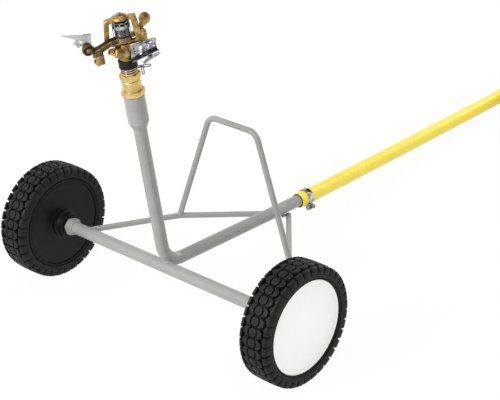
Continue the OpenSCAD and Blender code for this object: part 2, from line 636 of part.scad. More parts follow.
// Hose end on the pipe, and its worm clamp
module on_pipe(y) cart() translate([0, y, pipe_up]) rotate([-90, 0, 0]) children();
module hose_cuff() color(yellow) on_pipe(cuff_y) difference() {
    union() {
        cylinder(h = band_y + band_w + 3 - cuff_y, r = cuff_r);
        translate([0, 0, band_y + band_w + 3 - cuff_y])
            cylinder(h = pipe_len - band_y - band_w - 3, r1 = cuff_r, d2 = hose_d);
    }
    translate([0, 0, -1]) cylinder(h = pipe_len - cuff_y + 2, r = pipe_r);
}
module clamp_band() color(steel) on_pipe(band_y) tube(band_w, band_r, cuff_r);
worm_r = 3.4;
worm_wall = 1.6;
worm_z = band_r + worm_r + worm_wall;
worm_len = 16;
module clamp_at() on_pipe(band_y + band_w / 2) rotate([0, 0, -35]) translate([0, worm_z, 0]) children();
module clamp_housing() color(steel) clamp_at() difference() {
    translate([-worm_len / 2 + 3, band_r + run - worm_z, -band_w / 2 - 0.5])
        cube([worm_len - 5, worm_wall + 2 * worm_r + 0.8 - run, band_w + 1]);
    translate([-worm_len, 0, 0]) rotate([0, 90, 0]) cylinder(h = 2 * worm_len, r = worm_r + run);
}
module clamp_screw() color(steel) clamp_at() difference() {
    union() {
        translate([-worm_len / 2, 0, 0]) rotate([0, 90, 0]) cylinder(h = worm_len, r = worm_r);
        translate([worm_len / 2 - 1.5, 0, 0]) rotate([0, 90, 0]) hexagon(8, 4.5);
    }
    translate([worm_len / 2 + 1.5, -0.6, -5]) cube([4, 1.2, 10]);
}

// Free hose: the points of its route, from the pipe's end down to the ground and on to the coil
hose_r = hose_d / 2;
function pipe_axis(y) = to_row([0, y, pipe_up]);
route = [
    [0, 300, 58.8], [0, 350, 54.2], [0, 400, 49.9], [0, 450, 45.6], [0, 500, 41.4], [0, 550, 37.3],
    [0, 600, 33.2], [0, 650, 29.1], [0, 700, 25], [0, 750, 20.9], [0, 790, 17.8], [0, 820, 15.7],
    [0, 850, 14.2], [0, 880, 13.3], [0, 924, 13]
];
coil_turns = 3;
coil_low_z = hose_r * 0.8;
coil_top_z = 40;
coil_lift = 3.6;
coil_gap = 0.8;
coil_step = hose_d + coil_gap;
coil_in_r = 104;
coil_out_r = coil_in_r + coil_step * coil_turns / 2;
coil_at = [coil_out_r, 950, 0];

// A tube swept along points; side a lies level to the right of its way
function way(pts, i) = unit(pts[min(i + 1, len(pts) - 1)] - pts[max(i - 1, 0)]);
module swept(pts, r, sides, phase = 0) {
    n = len(pts);
    rings = [for (i = [0:n - 1]) for (k = [0:sides - 1])
        let (d = way(pts, i), right = unit(cross(d, [0, 0, 1])), up = cross(right, d))
        let (a = phase + 360 * k / sides)
        pts[i] + r * (right * cos(a) + up * sin(a))];
    side = [for (i = [0:n - 2]) for (k = [0:sides - 1]) for (t = [0, 1])
        let (a = i * sides + k, b = i * sides + (k + 1) % sides)
        t == 0 ? [a, b + sides, b] : [a, a + sides, b + sides]];
    first = [for (k = [1:sides - 2]) [0, k, k + 1]];
    last = [for (k = [1:sides - 2]) [(n - 1) * sides, (n - 1) * sides + k + 1, (n - 1) * sides + k]];
    polyhedron(points = rings, faces = concat(side, first, last));
}
module hose_tube() color(yellow)
    swept(concat([pipe_axis(pipe_len), pipe_axis(pipe_len + hose_d)], route), hose_r, 10, 18);

// The coil winds in on the ground, climbs a layer and winds out again on top
function smooth(x) = let (c = min(max(x, 0), 1)) c * c * (3 - 2 * c);
function coil_r(t) = coil_in_r + coil_step * abs(t - coil_turns / 2);
function coil_z(t) = coil_low_z + (coil_top_z - coil_low_z) * smooth(2 * (t - coil_turns / 2) + 0.5)
    + coil_lift * smooth((t - coil_turns + 0.75) / 0.75);
function coil_place(t) =
    coil_at + [coil_r(t) * cos(180 - 360 * t), coil_r(t) * sin(180 - 360 * t), coil_z(t)];
coil_rings = 24;
coil_end = coil_place(coil_turns) + [0, hose_d, 0];
coil_pts = concat([coil_place(0) - [0, hose_d, 0]],
    [for (i = [0:coil_turns * coil_rings]) coil_place(i / coil_rings)], [coil_end]);
coil_min = min([for (i = [0:coil_turns * coil_rings]) for (j = [i + coil_rings / 2:coil_turns * coil_rings])
    norm(coil_place(i / coil_rings) - coil_place(j / coil_rings))]) - hose_d;
echo(least_gap_between_turns = coil_min);
module hose_coil() color(yellow) difference() {
    swept(coil_pts, hose_r, 6);
    translate([-hose_d, coil_at.y - coil_out_r - hose_d, -hose_d])
        cube([2 * (coil_out_r + hose_d), 2 * (coil_out_r + hose_d), hose_d]);
}
tie_w = 6;
tie_t = 1.4;
module tie_outline(r) hull() {
    for (x = [coil_in_r + 4, coil_in_r + 31]) translate([x, hose_r + tie_t]) circle(r = r);
    for (x = [coil_in_r + 4, coil_in_r + 31]) translate([x, coil_top_z + 1]) circle(r = r);
}
module coil_ties() color(black) translate(coil_at) for (a = [-60, 60])
    rotate([0, 0, a]) rotate([90, 0, 0]) linear_extrude(height = tie_w, center = true) difference() {
        tie_outline(hose_r + tie_t, $fn = 24);
        tie_outline(hose_r, $fn = 24);
    }

// Coupling on the hose's far end, along +Y from the coil's end
ferrule_len = 26;
nut_len = 19;
tail_r = 9;
tail_t = 2;
seal_t = 2.4;
nut_gap = 1;
nut_back = 4;
relief = nut_back + tail_t + seal_t + fit;
module coupling() translate(coil_end) rotate([-90, 0, 0]) children();
module hose_ferrule() color(brass) coupling() tube(ferrule_len, hose_r + 1.2, tail_r);
module hose_tail() color(brass) coupling() difference() {
    union() {
        cylinder(h = ferrule_len + nut_gap + nut_back + 1, r = tail_r);
        translate([0, 0, ferrule_len + nut_gap + nut_back]) cylinder(h = tail_t, r = nut_bore / 2 - 1.2);
    }
    translate([0, 0, -1]) cylinder(h = ferrule_len + 20, r = tail_r - 2);
}
module swivel_nut() color(brass) coupling() translate([0, 0, ferrule_len + nut_gap]) difference() {
    union() {
        cylinder(h = nut_len, r = 15.6);
        for (i = [0:15]) rotate([0, 0, i * 22.5]) translate([14, -1.3, 2]) cube([2.6, 2.6, nut_len - 4]);
    }
    translate([0, 0, -1]) cylinder(h = nut_back + 2, r = tail_r + run);
    translate([0, 0, nut_back - fit]) cylinder(h = relief - nut_back + 2 * fit, r = nut_bore / 2 - 0.8);
    translate([0, 0, relief]) cylinder(h = nut_len, d = nut_bore);
}
module tail_washer() color(rubber) coupling() translate([0, 0, ferrule_len + nut_gap + nut_back + tail_t])
    tube(seal_t, nut_bore / 2 - 1, tail_r - 2);

axle_tube();
axle_end(-1);  // axle_end_left
axle_end(1);  // axle_end_right
main_pipe();
riser_socket();
brace(-1);  // brace_left
brace(1);  // brace_right
carry_arch();
tyre(-1);  // tyre_left
rim(-1);  // rim_left
cover(-1);  // cover_left
bush(-1);  // bush_left
bolt(-1);  // bolt_left
washer(-1);  // washer_left
tyre(1);  // tyre_right
rim(1);  // rim_right
cover(1);  // cover_right
bush(1);  // bush_right
bolt(1);  // bolt_right
washer(1);  // washer_right
inlet_adapter();
bearing_nipple();
collar_upper();
collar_lower();
bearing_spring();
dust_sleeve();
spindle();
sprinkler_body();
rear_plug();
nozzle();
fulcrum_pin();
spring_cap();
arm_spring();
drive_arm();
deflector();
deflector_screw();
trip_bracket();
trip_lever();
trip_pin();
trip_spring();
trip_rivets();
hose_cuff();
clamp_band();
clamp_housing();
clamp_screw();
hose_tube();
hose_coil();
coil_ties();
hose_ferrule();
hose_tail();
swivel_nut();
tail_washer();
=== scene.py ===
import bpy, math
from mathutils import Matrix, Vector


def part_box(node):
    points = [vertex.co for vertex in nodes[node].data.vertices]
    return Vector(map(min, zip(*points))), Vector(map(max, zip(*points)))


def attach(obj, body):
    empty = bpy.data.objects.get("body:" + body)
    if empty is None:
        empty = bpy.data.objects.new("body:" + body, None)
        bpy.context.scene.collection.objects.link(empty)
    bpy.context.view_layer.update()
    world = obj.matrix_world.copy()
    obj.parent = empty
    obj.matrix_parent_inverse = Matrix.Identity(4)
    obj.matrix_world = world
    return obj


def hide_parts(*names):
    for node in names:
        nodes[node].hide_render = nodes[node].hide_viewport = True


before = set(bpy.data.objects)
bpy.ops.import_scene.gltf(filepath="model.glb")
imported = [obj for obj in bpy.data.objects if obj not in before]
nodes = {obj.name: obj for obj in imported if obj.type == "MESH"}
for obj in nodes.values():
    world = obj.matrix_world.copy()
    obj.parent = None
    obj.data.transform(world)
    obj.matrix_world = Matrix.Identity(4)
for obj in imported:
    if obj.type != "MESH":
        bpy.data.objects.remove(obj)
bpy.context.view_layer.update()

MM = 0.001

# Driving sizes of the cart, in millimetres and radians, the same as its frame's
WHEEL_R = 100
LEAN_BACK = math.radians(6.5)
RISER_LEAN = math.radians(10.6)
RISER_LEN = 320
HEAD_TURN = math.radians(20)
PIPE_UP = 6.4
BEND_Y = -2
BEND_R = 45
PIPE_R = 10.65
ROD_R = 5

# Frames of the cart: level cart with its axle at the origin, riser's socket, turning sprinkler
tube_low, tube_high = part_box("axle_tube")
AXLE = Vector((0, (tube_low.y + tube_high.y) / 2, WHEEL_R * MM))
CART = Matrix.Translation(AXLE) @ Matrix.Rotation(-LEAN_BACK, 4, "X")
HEAD = (CART @ Matrix.Translation(Vector((0, BEND_Y, PIPE_UP)) * MM)
        @ Matrix.Rotation(RISER_LEAN, 4, "X") @ Matrix.Translation(Vector((0, 0, RISER_LEN)) * MM))
SPRINKLER = HEAD @ Matrix.Rotation(-HEAD_TURN, 4, "Z")


def place(x, y, z, about_x=0, about_y=0, about_z=0):
    """Matrix of a place in millimetres, turned about X, then Y, then Z, in degrees."""
    turn = (Matrix.Rotation(math.radians(about_z), 4, "Z")
            @ Matrix.Rotation(math.radians(about_y), 4, "Y")
            @ Matrix.Rotation(math.radians(about_x), 4, "X"))
    return Matrix.Translation(Vector((x, y, z)) * MM) @ turn


# Camera: the photograph's own view of the level cart, leant back with the cart about its axle
VIEW_FROM = Vector((1656.9, -1625.2, 1194.0)) * MM
VIEW_YAW = math.radians(42.16)
VIEW_PITCH = math.radians(24.84)
LENS = 114.03
FILM_WIDTH = 36
FARTHEST = 50
camera_data = bpy.data.cameras.new("camera")
camera_data.lens = LENS
camera_data.sensor_width = FILM_WIDTH
camera_data.clip_end = FARTHEST
camera = bpy.data.objects.new("camera", camera_data)
bpy.context.scene.collection.objects.link(camera)
camera.matrix_world = (CART @ Matrix.Translation(VIEW_FROM) @ Matrix.Rotation(VIEW_YAW, 4, "Z")
                       @ Matrix.Rotation(math.pi / 2 - VIEW_PITCH, 4, "X"))
bpy.context.scene.camera = camera


# Tools of the workshop
SAME_POINT = 0.00001       # metres; points closer than this are merged
SHARP = math.radians(50)   # edges that bend less than this get no bevel
# Degrees below which an edge is shaded smooth, for machined, moulded, welded and round-drawn pieces
SMOOTH = 35
MOULDED_SMOOTH = 40
WELD_SMOOTH = 50
DRAWN_SMOOTH = 60


def select_only(*objs):
    """Object mode, with only these objects selected and the last one active."""
    if bpy.context.object and bpy.context.object.mode != "OBJECT":
        bpy.ops.object.mode_set(mode="OBJECT")
    bpy.ops.object.select_all(action="DESELECT")
    for obj in objs:
        obj.select_set(True)
    bpy.context.view_layer.objects.active = objs[-1]


def modify(obj, kind, **settings):
    """Adds a modifier with its settings and applies it."""
    select_only(obj)
    mod = obj.modifiers.new(kind.lower(), kind)
    for key, value in settings.items():
        setattr(mod, key, value)
    bpy.ops.object.modifier_apply(modifier=mod.name)
    return obj


def settle(obj, matrix, name, finish, body, smooth=SMOOTH):
    """Moves a finished mesh to its place, puts that place into its mesh and lets it ride on its body."""
    obj.matrix_world = matrix @ obj.matrix_world
    select_only(obj)
    bpy.ops.object.transform_apply(location=True, rotation=True, scale=True)
    obj.name = name
    obj.data.materials.clear()
    obj.data.materials.append(finish)
    bpy.ops.object.shade_smooth_by_angle(angle=math.radians(smooth))
    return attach(obj, body)


def join(objs):
    """One mesh from several."""
    select_only(*objs)
    bpy.ops.object.join()
    return bpy.context.object


def face_out(obj, merge=SAME_POINT):
    """Merges doubled points and turns every face outwards."""
    select_only(obj)
    bpy.ops.object.mode_set(mode="EDIT")
    bpy.ops.mesh.select_all(action="SELECT")
    bpy.ops.mesh.remove_doubles(threshold=merge)
    bpy.ops.mesh.normals_make_consistent(inside=False)
    bpy.ops.object.mode_set(mode="OBJECT")
    return obj


def add_line(curve, points, closed):
    """Adds a run of straight pieces through points in millimetres to a curve."""
    spline = curve.splines.new("POLY")
    spline.points.add(len(points) - 1)
    for point, spot in zip(spline.points, points):
        point.co = [c * MM for c in spot] + [0] * (3 - len(spot)) + [1]
    spline.use_cyclic_u = closed


def curve_object(points, closed=False, dims="3D"):
    """A curve through points in millimetres."""
    data = bpy.data.curves.new("line", "CURVE")
    data.dimensions = dims
    add_line(data, points, closed)
    obj = bpy.data.objects.new("line", data)
    bpy.context.scene.collection.objects.link(obj)
    return obj


def as_mesh(obj):
    """A curve made a mesh."""
    select_only(obj)
    bpy.ops.object.convert(target="MESH")
    return bpy.context.object


def plate(outlines, thick, bevel):
    """A flat plate with rounded edges in the XY plane, from an outer outline and its holes."""
    obj = curve_object(outlines[0], closed=True, dims="2D")
    for hole in outlines[1:]:
        add_line(obj.data, hole, True)
    obj.data.fill_mode = "BOTH"
    obj.data.extrude = (thick / 2 - bevel) * MM
    obj.data.bevel_depth = bevel * MM
    obj.data.offset = -bevel * MM
    obj.data.bevel_resolution = 2
    return face_out(as_mesh(obj))


def upright(outlines, thick, x, bevel):
    """A plate in an upright plane along Y, from outlines of (y, height), its middle at x."""
    flat = plate(outlines, thick, bevel)
    flat.matrix_world = place(x, 0, 0, 90, 0, 90)
    return flat


def wire(points, radius, closed=False, sides=4):
    """A round wire through points in millimetres; sides is how finely its girth is rounded."""
    obj = curve_object(points, closed)
    obj.data.bevel_depth = radius * MM
    obj.data.bevel_resolution = sides
    obj.data.use_fill_caps = not closed
    return face_out(as_mesh(obj))


def helix(radius, wire_r, turns, low_h, high_h, per=28):
    """A wire wound about Z between two heights, in per steps a turn, its end turns nearly flat."""
    flat, creep = 0.7, 0.04
    points = []
    for i in range(turns * per + 1):
        share = i / (turns * per)
        climb = min(max((share * turns - flat) / (turns - 2 * flat), 0), 1)
        angle = 2 * math.pi * i / per
        height = low_h + (high_h - low_h) * (creep * share + (1 - creep) * climb)
        points.append((radius * math.cos(angle), radius * math.sin(angle), height))
    return wire(points, wire_r, sides=3)


def arc(x, y, radius, start, end, steps):
    """Points of an arc in the XY plane, angles in degrees."""
    turns = [math.radians(start + (end - start) * i / steps) for i in range(steps + 1)]
    return [(x + radius * math.cos(a), y + radius * math.sin(a)) for a in turns]


def circle(x, y, radius, steps=20):
    """Points of a whole circle in the XY plane."""
    return arc(x, y, radius, 0, 360, steps)[:-1]


def rounded(points, radius, steps=6):
    """The corners of a run of points in space, each eased by a bend of that radius."""
    pts = [Vector(p) for p in points]
    out = [pts[0]]
    for a, p, b in zip(pts, pts[1:], pts[2:]):
        u, v = (a - p).normalized(), (b - p).normalized()
        half = u.angle(v) / 2
        reach = radius / math.tan(half)
        middle = p + (u + v).normalized() * radius / math.sin(half)
        first, last = p + u * reach - middle, p + v * reach - middle
        turn = first.angle(last)
        axis = first.cross(last).normalized()
        out += [middle + Matrix.Rotation(turn * i / steps, 3, axis) @ first for i in range(steps + 1)]
    return out + [pts[-1]]


def turned(profile, steps=48):
    """A turned piece about Z, from a closed run of (radius, height) in millimetres."""
    obj = as_mesh(curve_object([(r, 0, h) for r, h in profile], closed=True))
    modify(obj, "SCREW", angle=2 * math.pi, steps=steps, render_steps=steps, axis="Z",
           use_merge_vertices=True, merge_threshold=SAME_POINT)
    return face_out(obj)


def drum(radius, height, at=(0, 0, 0), verts=48, axis="Z", bevel=0.4):
    """A short round bar with eased ends, its middle at a place in millimetres."""
    turn = {"X": (0, math.pi / 2, 0), "Y": (math.pi / 2, 0, 0), "Z": (0, 0, 0)}[axis]
    bpy.ops.mesh.primitive_cylinder_add(vertices=verts, radius=radius * MM, depth=height * MM,
                                        location=Vector(at) * MM, rotation=turn)
    obj = bpy.context.object
    if bevel:
        modify(obj, "BEVEL", width=bevel * MM, segments=2, limit_method="ANGLE", angle_limit=SHARP)
    return obj


def block(size, at=(0, 0, 0), bevel=0.5, turn=(0, 0, 0)):
    """A block with eased edges, its middle at a place in millimetres, turned in degrees."""
    bpy.ops.mesh.primitive_cube_add(size=1, location=Vector(at) * MM,
                                    rotation=[math.radians(a) for a in turn])
    obj = bpy.context.object
    obj.scale = Vector(size) * MM
    bpy.ops.object.transform_apply(location=False, rotation=False, scale=True)
    if bevel:
        modify(obj, "BEVEL", width=bevel * MM, segments=3)
    return obj


def cut(obj, tool, how="DIFFERENCE"):
    """Cuts a tool's shape from a mesh, or keeps what both hold, and removes the tool."""
    modify(obj, "BOOLEAN", object=tool, operation=how, solver="EXACT")
    bpy.data.objects.remove(tool)
    return obj


def hexagon(across, height, base):
    """A hexagon across its flats, standing on a height, with its corners turned off at 30 degrees."""
    corner, flat, top = across / math.sqrt(3), across / 2 - 0.6, base + height
    bpy.ops.mesh.primitive_cylinder_add(vertices=6, radius=corner * MM, depth=height * MM,
                                        location=(0, 0, (base + height / 2) * MM),
                                        rotation=(0, 0, math.pi / 6))
    prism = bpy.context.object
    rise = (corner - flat) * math.tan(math.radians(30))
    past = 0.01
    barrel = turned([(0, base - past), (flat, base - past), (corner, base + rise), (corner, top - rise),
                     (flat, top + past), (0, top + past)])
    return cut(prism, barrel, "INTERSECT")


def dress(obj, matrix, node_name, finish, body, smooth=SMOOTH):
    """Settles a piece in the stead of the frame's node of that name."""
    piece = settle(obj, matrix, f"{node_name}_detailed", finish, body, smooth)
    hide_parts(node_name)
    return piece


def with_piece(obj, matrix, name, finish, body, smooth=SMOOTH):
    """Settles a piece that the frame has no node for."""
    piece = settle(obj, matrix, name, finish, body, smooth)
    return piece


def eased_outline(points, radius, steps=5):
    """A closed outline in a plane with its corners eased."""
    middle = [(a + b) / 2 for a, b in zip(points[0], points[-1])]
    run = rounded([(*p, 0) for p in [middle, *points, middle]], radius, steps)
    return [(p[0], p[1]) for p in run[:-1]]


# Finishes
EVEN_NOISE = 0.55          # how strong a noise's finer lumps are
# Values between which a noise mostly lies
NOISE_LOW = 0.3
NOISE_HIGH = 0.7


def linear(hex_colour):
    """An sRGB hex colour as Blender's linear one."""
    parts = [int(hex_colour[i:i + 2], 16) / 255 for i in (1, 3, 5)]
    return [c / 12.92 if c <= 0.04045 else ((c + 0.055) / 1.055) ** 2.4 for c in parts] + [1]


def node(mat, kind, links=None, into=None, stops=(), **settings):
    """Adds a shader node with its settings. links maps its inputs to values or to outputs of other
    nodes, into is the socket that its first output feeds, and stops are the places and hex colours
    of a colour ramp."""
    made = mat.node_tree.nodes.new("ShaderNode" + kind)
    for key, value in settings.items():
        setattr(made, key, value)
    for key, value in (links or {}).items():
        if isinstance(value, bpy.types.NodeSocket):
            mat.node_tree.links.new(value, made.inputs[key])
        else:
            made.inputs[key].default_value = value
    if stops:
        band = made.color_ramp.elements
        band[0].position, band[-1].position = stops[0][0], stops[-1][0]
        for spot, _ in stops[1:-1]:
            band.new(spot)
        for element, (_, colour) in zip(band, stops):
            element.color = linear(colour)
    if into:
        mat.node_tree.links.new(made.outputs[0], into)
    return made


def new_material(name, **sockets):
    """A material and its Principled shader, with sockets set on the shader."""
    mat = bpy.data.materials.new(name)
    mat.use_nodes = True
    shader = mat.node_tree.nodes["Principled BSDF"]
    for key, value in sockets.items():
        shader.inputs[key.replace("_", " ")].default_value = value
    return mat, shader


def patchy(name, stops, rough, patch_mm, detail, uneven=EVEN_NOISE, **sockets):
    """A finish whose colour and roughness follow the same soft patches, about patch_mm across; rough
    is the roughness at their low and high ends. Gives the material, its shader and the coordinates
    that its relief reads."""
    mat, shader = new_material(name, **sockets)
    where = node(mat, "TexCoord").outputs["Object"]
    patches = node(mat, "TexNoise", {"Vector": where, "Scale": 1000 / patch_mm, "Detail": detail,
                                     "Roughness": uneven}).outputs["Fac"]
    node(mat, "ValToRGB", {"Fac": patches}, shader.inputs["Base Color"], stops)
    node(mat, "MapRange", {"Value": patches, "From Min": NOISE_LOW, "From Max": NOISE_HIGH,
                           "To Min": rough[0], "To Max": rough[1]}, shader.inputs["Roughness"])
    return mat, shader, where


def grain(mat, shader, where, size_mm, detail, deep_mm, strength):
    """Fine relief all over a finish, of lumps about size_mm across."""
    lumps = node(mat, "TexNoise", {"Vector": where, "Scale": 1000 / size_mm, "Detail": detail,
                                   "Roughness": EVEN_NOISE}).outputs["Fac"]
    node(mat, "Bump", {"Height": lumps, "Distance": deep_mm * MM, "Strength": strength},
         shader.inputs["Normal"])


def powder_coat():
    """Epoxy powder baked on steel tube: an even grey with a faint orange peel, a soft gloss, and
    a few dusty, duller patches."""
    stops = ((0.3, "#8D8D8B"), (0.55, "#929290"), (0.75, "#979795"))
    mat, shader, where = patchy("powder_coated_steel", stops, (0.26, 0.36), 35, 4, IOR=1.5)
    # The real peel is about 1.5 mm across
    grain(mat, shader, where, 1.5, 2, 0.05, 0.5)
    return mat


def tyre_rubber():
    """Vulcanised carbon-black rubber as it comes from the mould: near black, dull on the blocks, with
    a little dust in it."""
    stops = ((0.35, "#131314"), (0.6, "#18181A"), (0.8, "#242424"))
    mat, shader, where = patchy("vulcanised_rubber", stops, (0.5, 0.68), 22, 5, 0.6, IOR=1.52,
                                Specular_IOR_Level=0.22)
    # Moulded grain, drawn at 1 mm so that it shows
    grain(mat, shader, where, 1, 3, 0.08, 0.5)
    return mat


def moulded(name, shades, rough, **sockets):
    """Injection-moulded plastic: one colour with slight flow marks, and a fine spark-eroded grain."""
    stops = tuple(zip((0.3, 0.5, 0.7), shades))
    mat, shader, where = patchy(name, stops, rough, 40, 3, **sockets)
    # Eroded grain, drawn at 1.2 mm so that it shows
    grain(mat, shader, where, 1.2, 2, 0.03, 0.5)
    return mat


def cast_brass(name, shades, rough):
    """Sand-cast brass or bronze, tumbled: warm metal with a fine pitted skin, and dull tarnish, the
    first of the shades, in patches a few millimetres across."""
    stops = tuple(zip((0.28, 0.42, 0.55, 0.75), shades))
    mat, shader, where = patchy(name, stops, rough, 9, 5, 0.6, Metallic=1)
    # Casting skin with a grain of 0.8 mm
    grain(mat, shader, where, 0.8, 3, 0.06, 0.6)
    return mat


def turned_brass():
    """Brass bar machined to hexagons and threads: bright yellow, with fine tool lines across."""
    stops = ((0.3, "#BE9E58"), (0.5, "#D8BC7C"), (0.7, "#E9D39E"))
    mat, shader, where = patchy("machined_brass", stops, (0.34, 0.22), 12, 4, Metallic=1)
    # Tool lines, drawn 0.79 mm apart so that they show; bands repeat every pi / 10 at a scale of 1
    line_mm = 0.78957
    lines = node(mat, "TexWave", {"Vector": where, "Scale": math.pi / 10 / (line_mm * MM),
                                  "Distortion": 0.6, "Detail": 1}, wave_type="BANDS", bands_direction="Z")
    node(mat, "Bump", {"Height": lines.outputs["Fac"], "Distance": 0.015 * MM, "Strength": 0.4},
         shader.inputs["Normal"])
    return mat


def bright_steel(name, shades, rough, cloud_mm):
    """Zinc-plated, stainless or drawn steel: a cool, bright metal with faint cloudy wipe marks."""
    stops = tuple(zip((0.3, 0.5, 0.7), shades))
    mat, shader, where = patchy(name, stops, rough, cloud_mm, 4, Metallic=1)
    # Rolled or drawn skin, drawn at 0.7 mm so that it shows
    grain(mat, shader, where, 0.7, 2, 0.01, 0.4)
    return mat


def hose_pvc():
    """Extruded soft PVC garden hose: clear bright yellow with a satin skin, faint draw lines along it
    and a slight unevenness."""
    stops = ((0.3, "#ECD73A"), (0.5, "#EFDA3F"), (0.7, "#F1DE48"))
    mat, shader, _ = patchy("extruded_pvc", stops, (0.34, 0.46), 30, 3, IOR=1.53, Coat_Weight=0.25,
                            Coat_Roughness=0.25)
    # Draw lines half a metre long and 1.4 mm wide, 60 of them round the hose; U is in metres along it
    lines_per_metre, lines_round = 2, 60
    along = node(mat, "UVMap").outputs["UV"]
    stretch = (lines_per_metre, lines_round, 1)
    drawn = node(mat, "Mapping", {"Vector": along, "Scale": stretch}).outputs["Vector"]
    lines = node(mat, "TexNoise", {"Vector": drawn, "Scale": 1, "Detail": 2}).outputs["Fac"]
    node(mat, "Bump", {"Height": lines, "Distance": 0.1 * MM, "Strength": 0.4}, shader.inputs["Normal"])
    return mat


GREY = powder_coat()
RUBBER = tyre_rubber()
BLACK = moulded("moulded_polypropylene_black", ("#0A0A0B", "#0D0D0E", "#121213"), (0.45, 0.58),
                Specular_IOR_Level=0.2)
WHITE = moulded("moulded_polypropylene_white", ("#FAFAF9", "#FCFCFB", "#FDFDFC"), (0.5, 0.56))
# Black nitrile rubber for the seals; the same finish also paints shade on the dark pieces in the spring,
# nozzle and band
SEAL_AND_SHADE = moulded("moulded_nitrile_rubber_and_painted_shade", ("#121214", "#161618", "#1C1C1E"), (0.5, 0.62),
               Specular_IOR_Level=0.25)
NYLON = moulded("moulded_nylon_black", ("#0F0F10", "#131314", "#19191A"), (0.35, 0.45),
                Specular_IOR_Level=0.3)
CAST = cast_brass("cast_brass", ("#54442A", "#8E7340", "#B8975A", "#D8BC84"), (0.5, 0.3))
# Grey-brown cast bronze for the spoon block and for the pockets' floors, where it is also painted shade
BRONZE = cast_brass("cast_bronze", ("#443B29", "#5F5540", "#75684F", "#8A7C60"), (0.55, 0.38))
# A darker copy of the cast brass for the beam's top: grey-brown patina and painted shade
TOP_PATINA_AND_SHADE = cast_brass("cast_bronze_patina_and_painted_shade", ("#201E19", "#2B2923", "#38352D", "#4A463A"), (0.65, 0.5))
# A darker copy of the cast brass: painted shade on the eye lug
BRASS_PAINTED_SHADE = cast_brass("cast_brass_painted_shade", ("#35240F", "#5A3D1A", "#75532A", "#96763C"), (0.5, 0.34))
BRASS = turned_brass()
ZINC = bright_steel("zinc_plated_steel", ("#505254", "#909294", "#E0E2E3"), (0.28, 0.14), 9)
STAINLESS = bright_steel("brushed_stainless_steel", ("#B0B2B4", "#C4C6C7", "#D8D9DA"), (0.36, 0.26), 24)
SPRING = bright_steel("drawn_spring_steel", ("#5E6064", "#808286", "#A6A8AB"), (0.26, 0.16), 8)
HOSE = hose_pvc()


# Hose: clamped over the pipe's rear end, down to the ground, and on to its coil out of view
HOSE_R = 13
PIPE_LEN = 375
CUFF_START = 332
BAND_AT = 353
FINE_STEP = 0.0012
STEP = 0.006


def pipe_axis(y):
    """A point on the long pipe's middle line, in metres."""
    return CART @ (Vector((0, y, PIPE_UP)) * MM)


# The hose's way from the pipe's end down to the ground, in millimetres; the coil follows
ROUTE = [
    (0, 300, 58.8), (0, 350, 54.2), (0, 400, 49.9), (0, 450, 45.6), (0, 500, 41.4), (0, 550, 37.3),
    (0, 600, 33.2), (0, 650, 29.1), (0, 700, 25), (0, 750, 20.9), (0, 790, 17.8), (0, 820, 15.7),
    (0, 850, 14.2), (0, 880, 13.3), (0, 924, 13),
]
# Coil: it winds in by half its turns and out again on top of them
COIL_TURNS = 3
COIL_IN_R = 104
COIL_STEP = 26.8
COIL_OUT_R = COIL_IN_R + COIL_STEP * COIL_TURNS / 2
COIL_AT = Vector((COIL_OUT_R, 950, 0))
COIL_TOP = 40              # height of the upper turns' middle line
COIL_LIFT = 3.6            # what the last turn's end rises above it
COIL_PER_TURN = 24
COIL_CLIMB = 0.75          # of a turn, over which the coil's end is lifted


def smooth_step(x):
    """Rises from 0 to 1 without a corner as x does."""
    c = min(max(x, 0), 1)
    return c * c * (3 - 2 * c)


def coil_place(t):
    """A point of the coil, in millimetres; it winds in on the ground and out again on top."""
    radius = COIL_IN_R + COIL_STEP * abs(t - COIL_TURNS / 2)
    height = (HOSE_R + (COIL_TOP - HOSE_R) * smooth_step(2 * (t - COIL_TURNS / 2) + 0.5)
              + COIL_LIFT * smooth_step((t - COIL_TURNS + COIL_CLIMB) / COIL_CLIMB))
    angle = math.pi - 2 * math.pi * t
    return COIL_AT + Vector((radius * math.cos(angle), radius * math.sin(angle), height))


hose_way = [pipe_axis(y) for y in (CUFF_START, 347, 361, PIPE_LEN, PIPE_LEN + 2 * HOSE_R)]
hose_way += [Vector(p) * MM for p in ROUTE]
hose_way += [coil_place(i / COIL_PER_TURN) * MM for i in range(COIL_TURNS * COIL_PER_TURN + 1)]
hose_way.append((coil_place(COIL_TURNS) + Vector((0, 2 * HOSE_R, 0))) * MM)


def smooth_line(points, step):
    """A smooth line through points, with a point about every step metres."""
    out = []
    padded = [2 * points[0] - points[1]] + points + [2 * points[-1] - points[-2]]
    for a, b, c, d in zip(padded, padded[1:], padded[2:], padded[3:]):
        count = max(1, round((c - b).length / step))
        for i in range(count):
            t = i / count
            out.append(0.5 * ((2 * b) + (c - a) * t + (2 * a - 5 * b + 4 * c - d) * t * t
                              + (3 * b - a - 3 * c + d) * t * t * t))
    return out + [points[-1]]


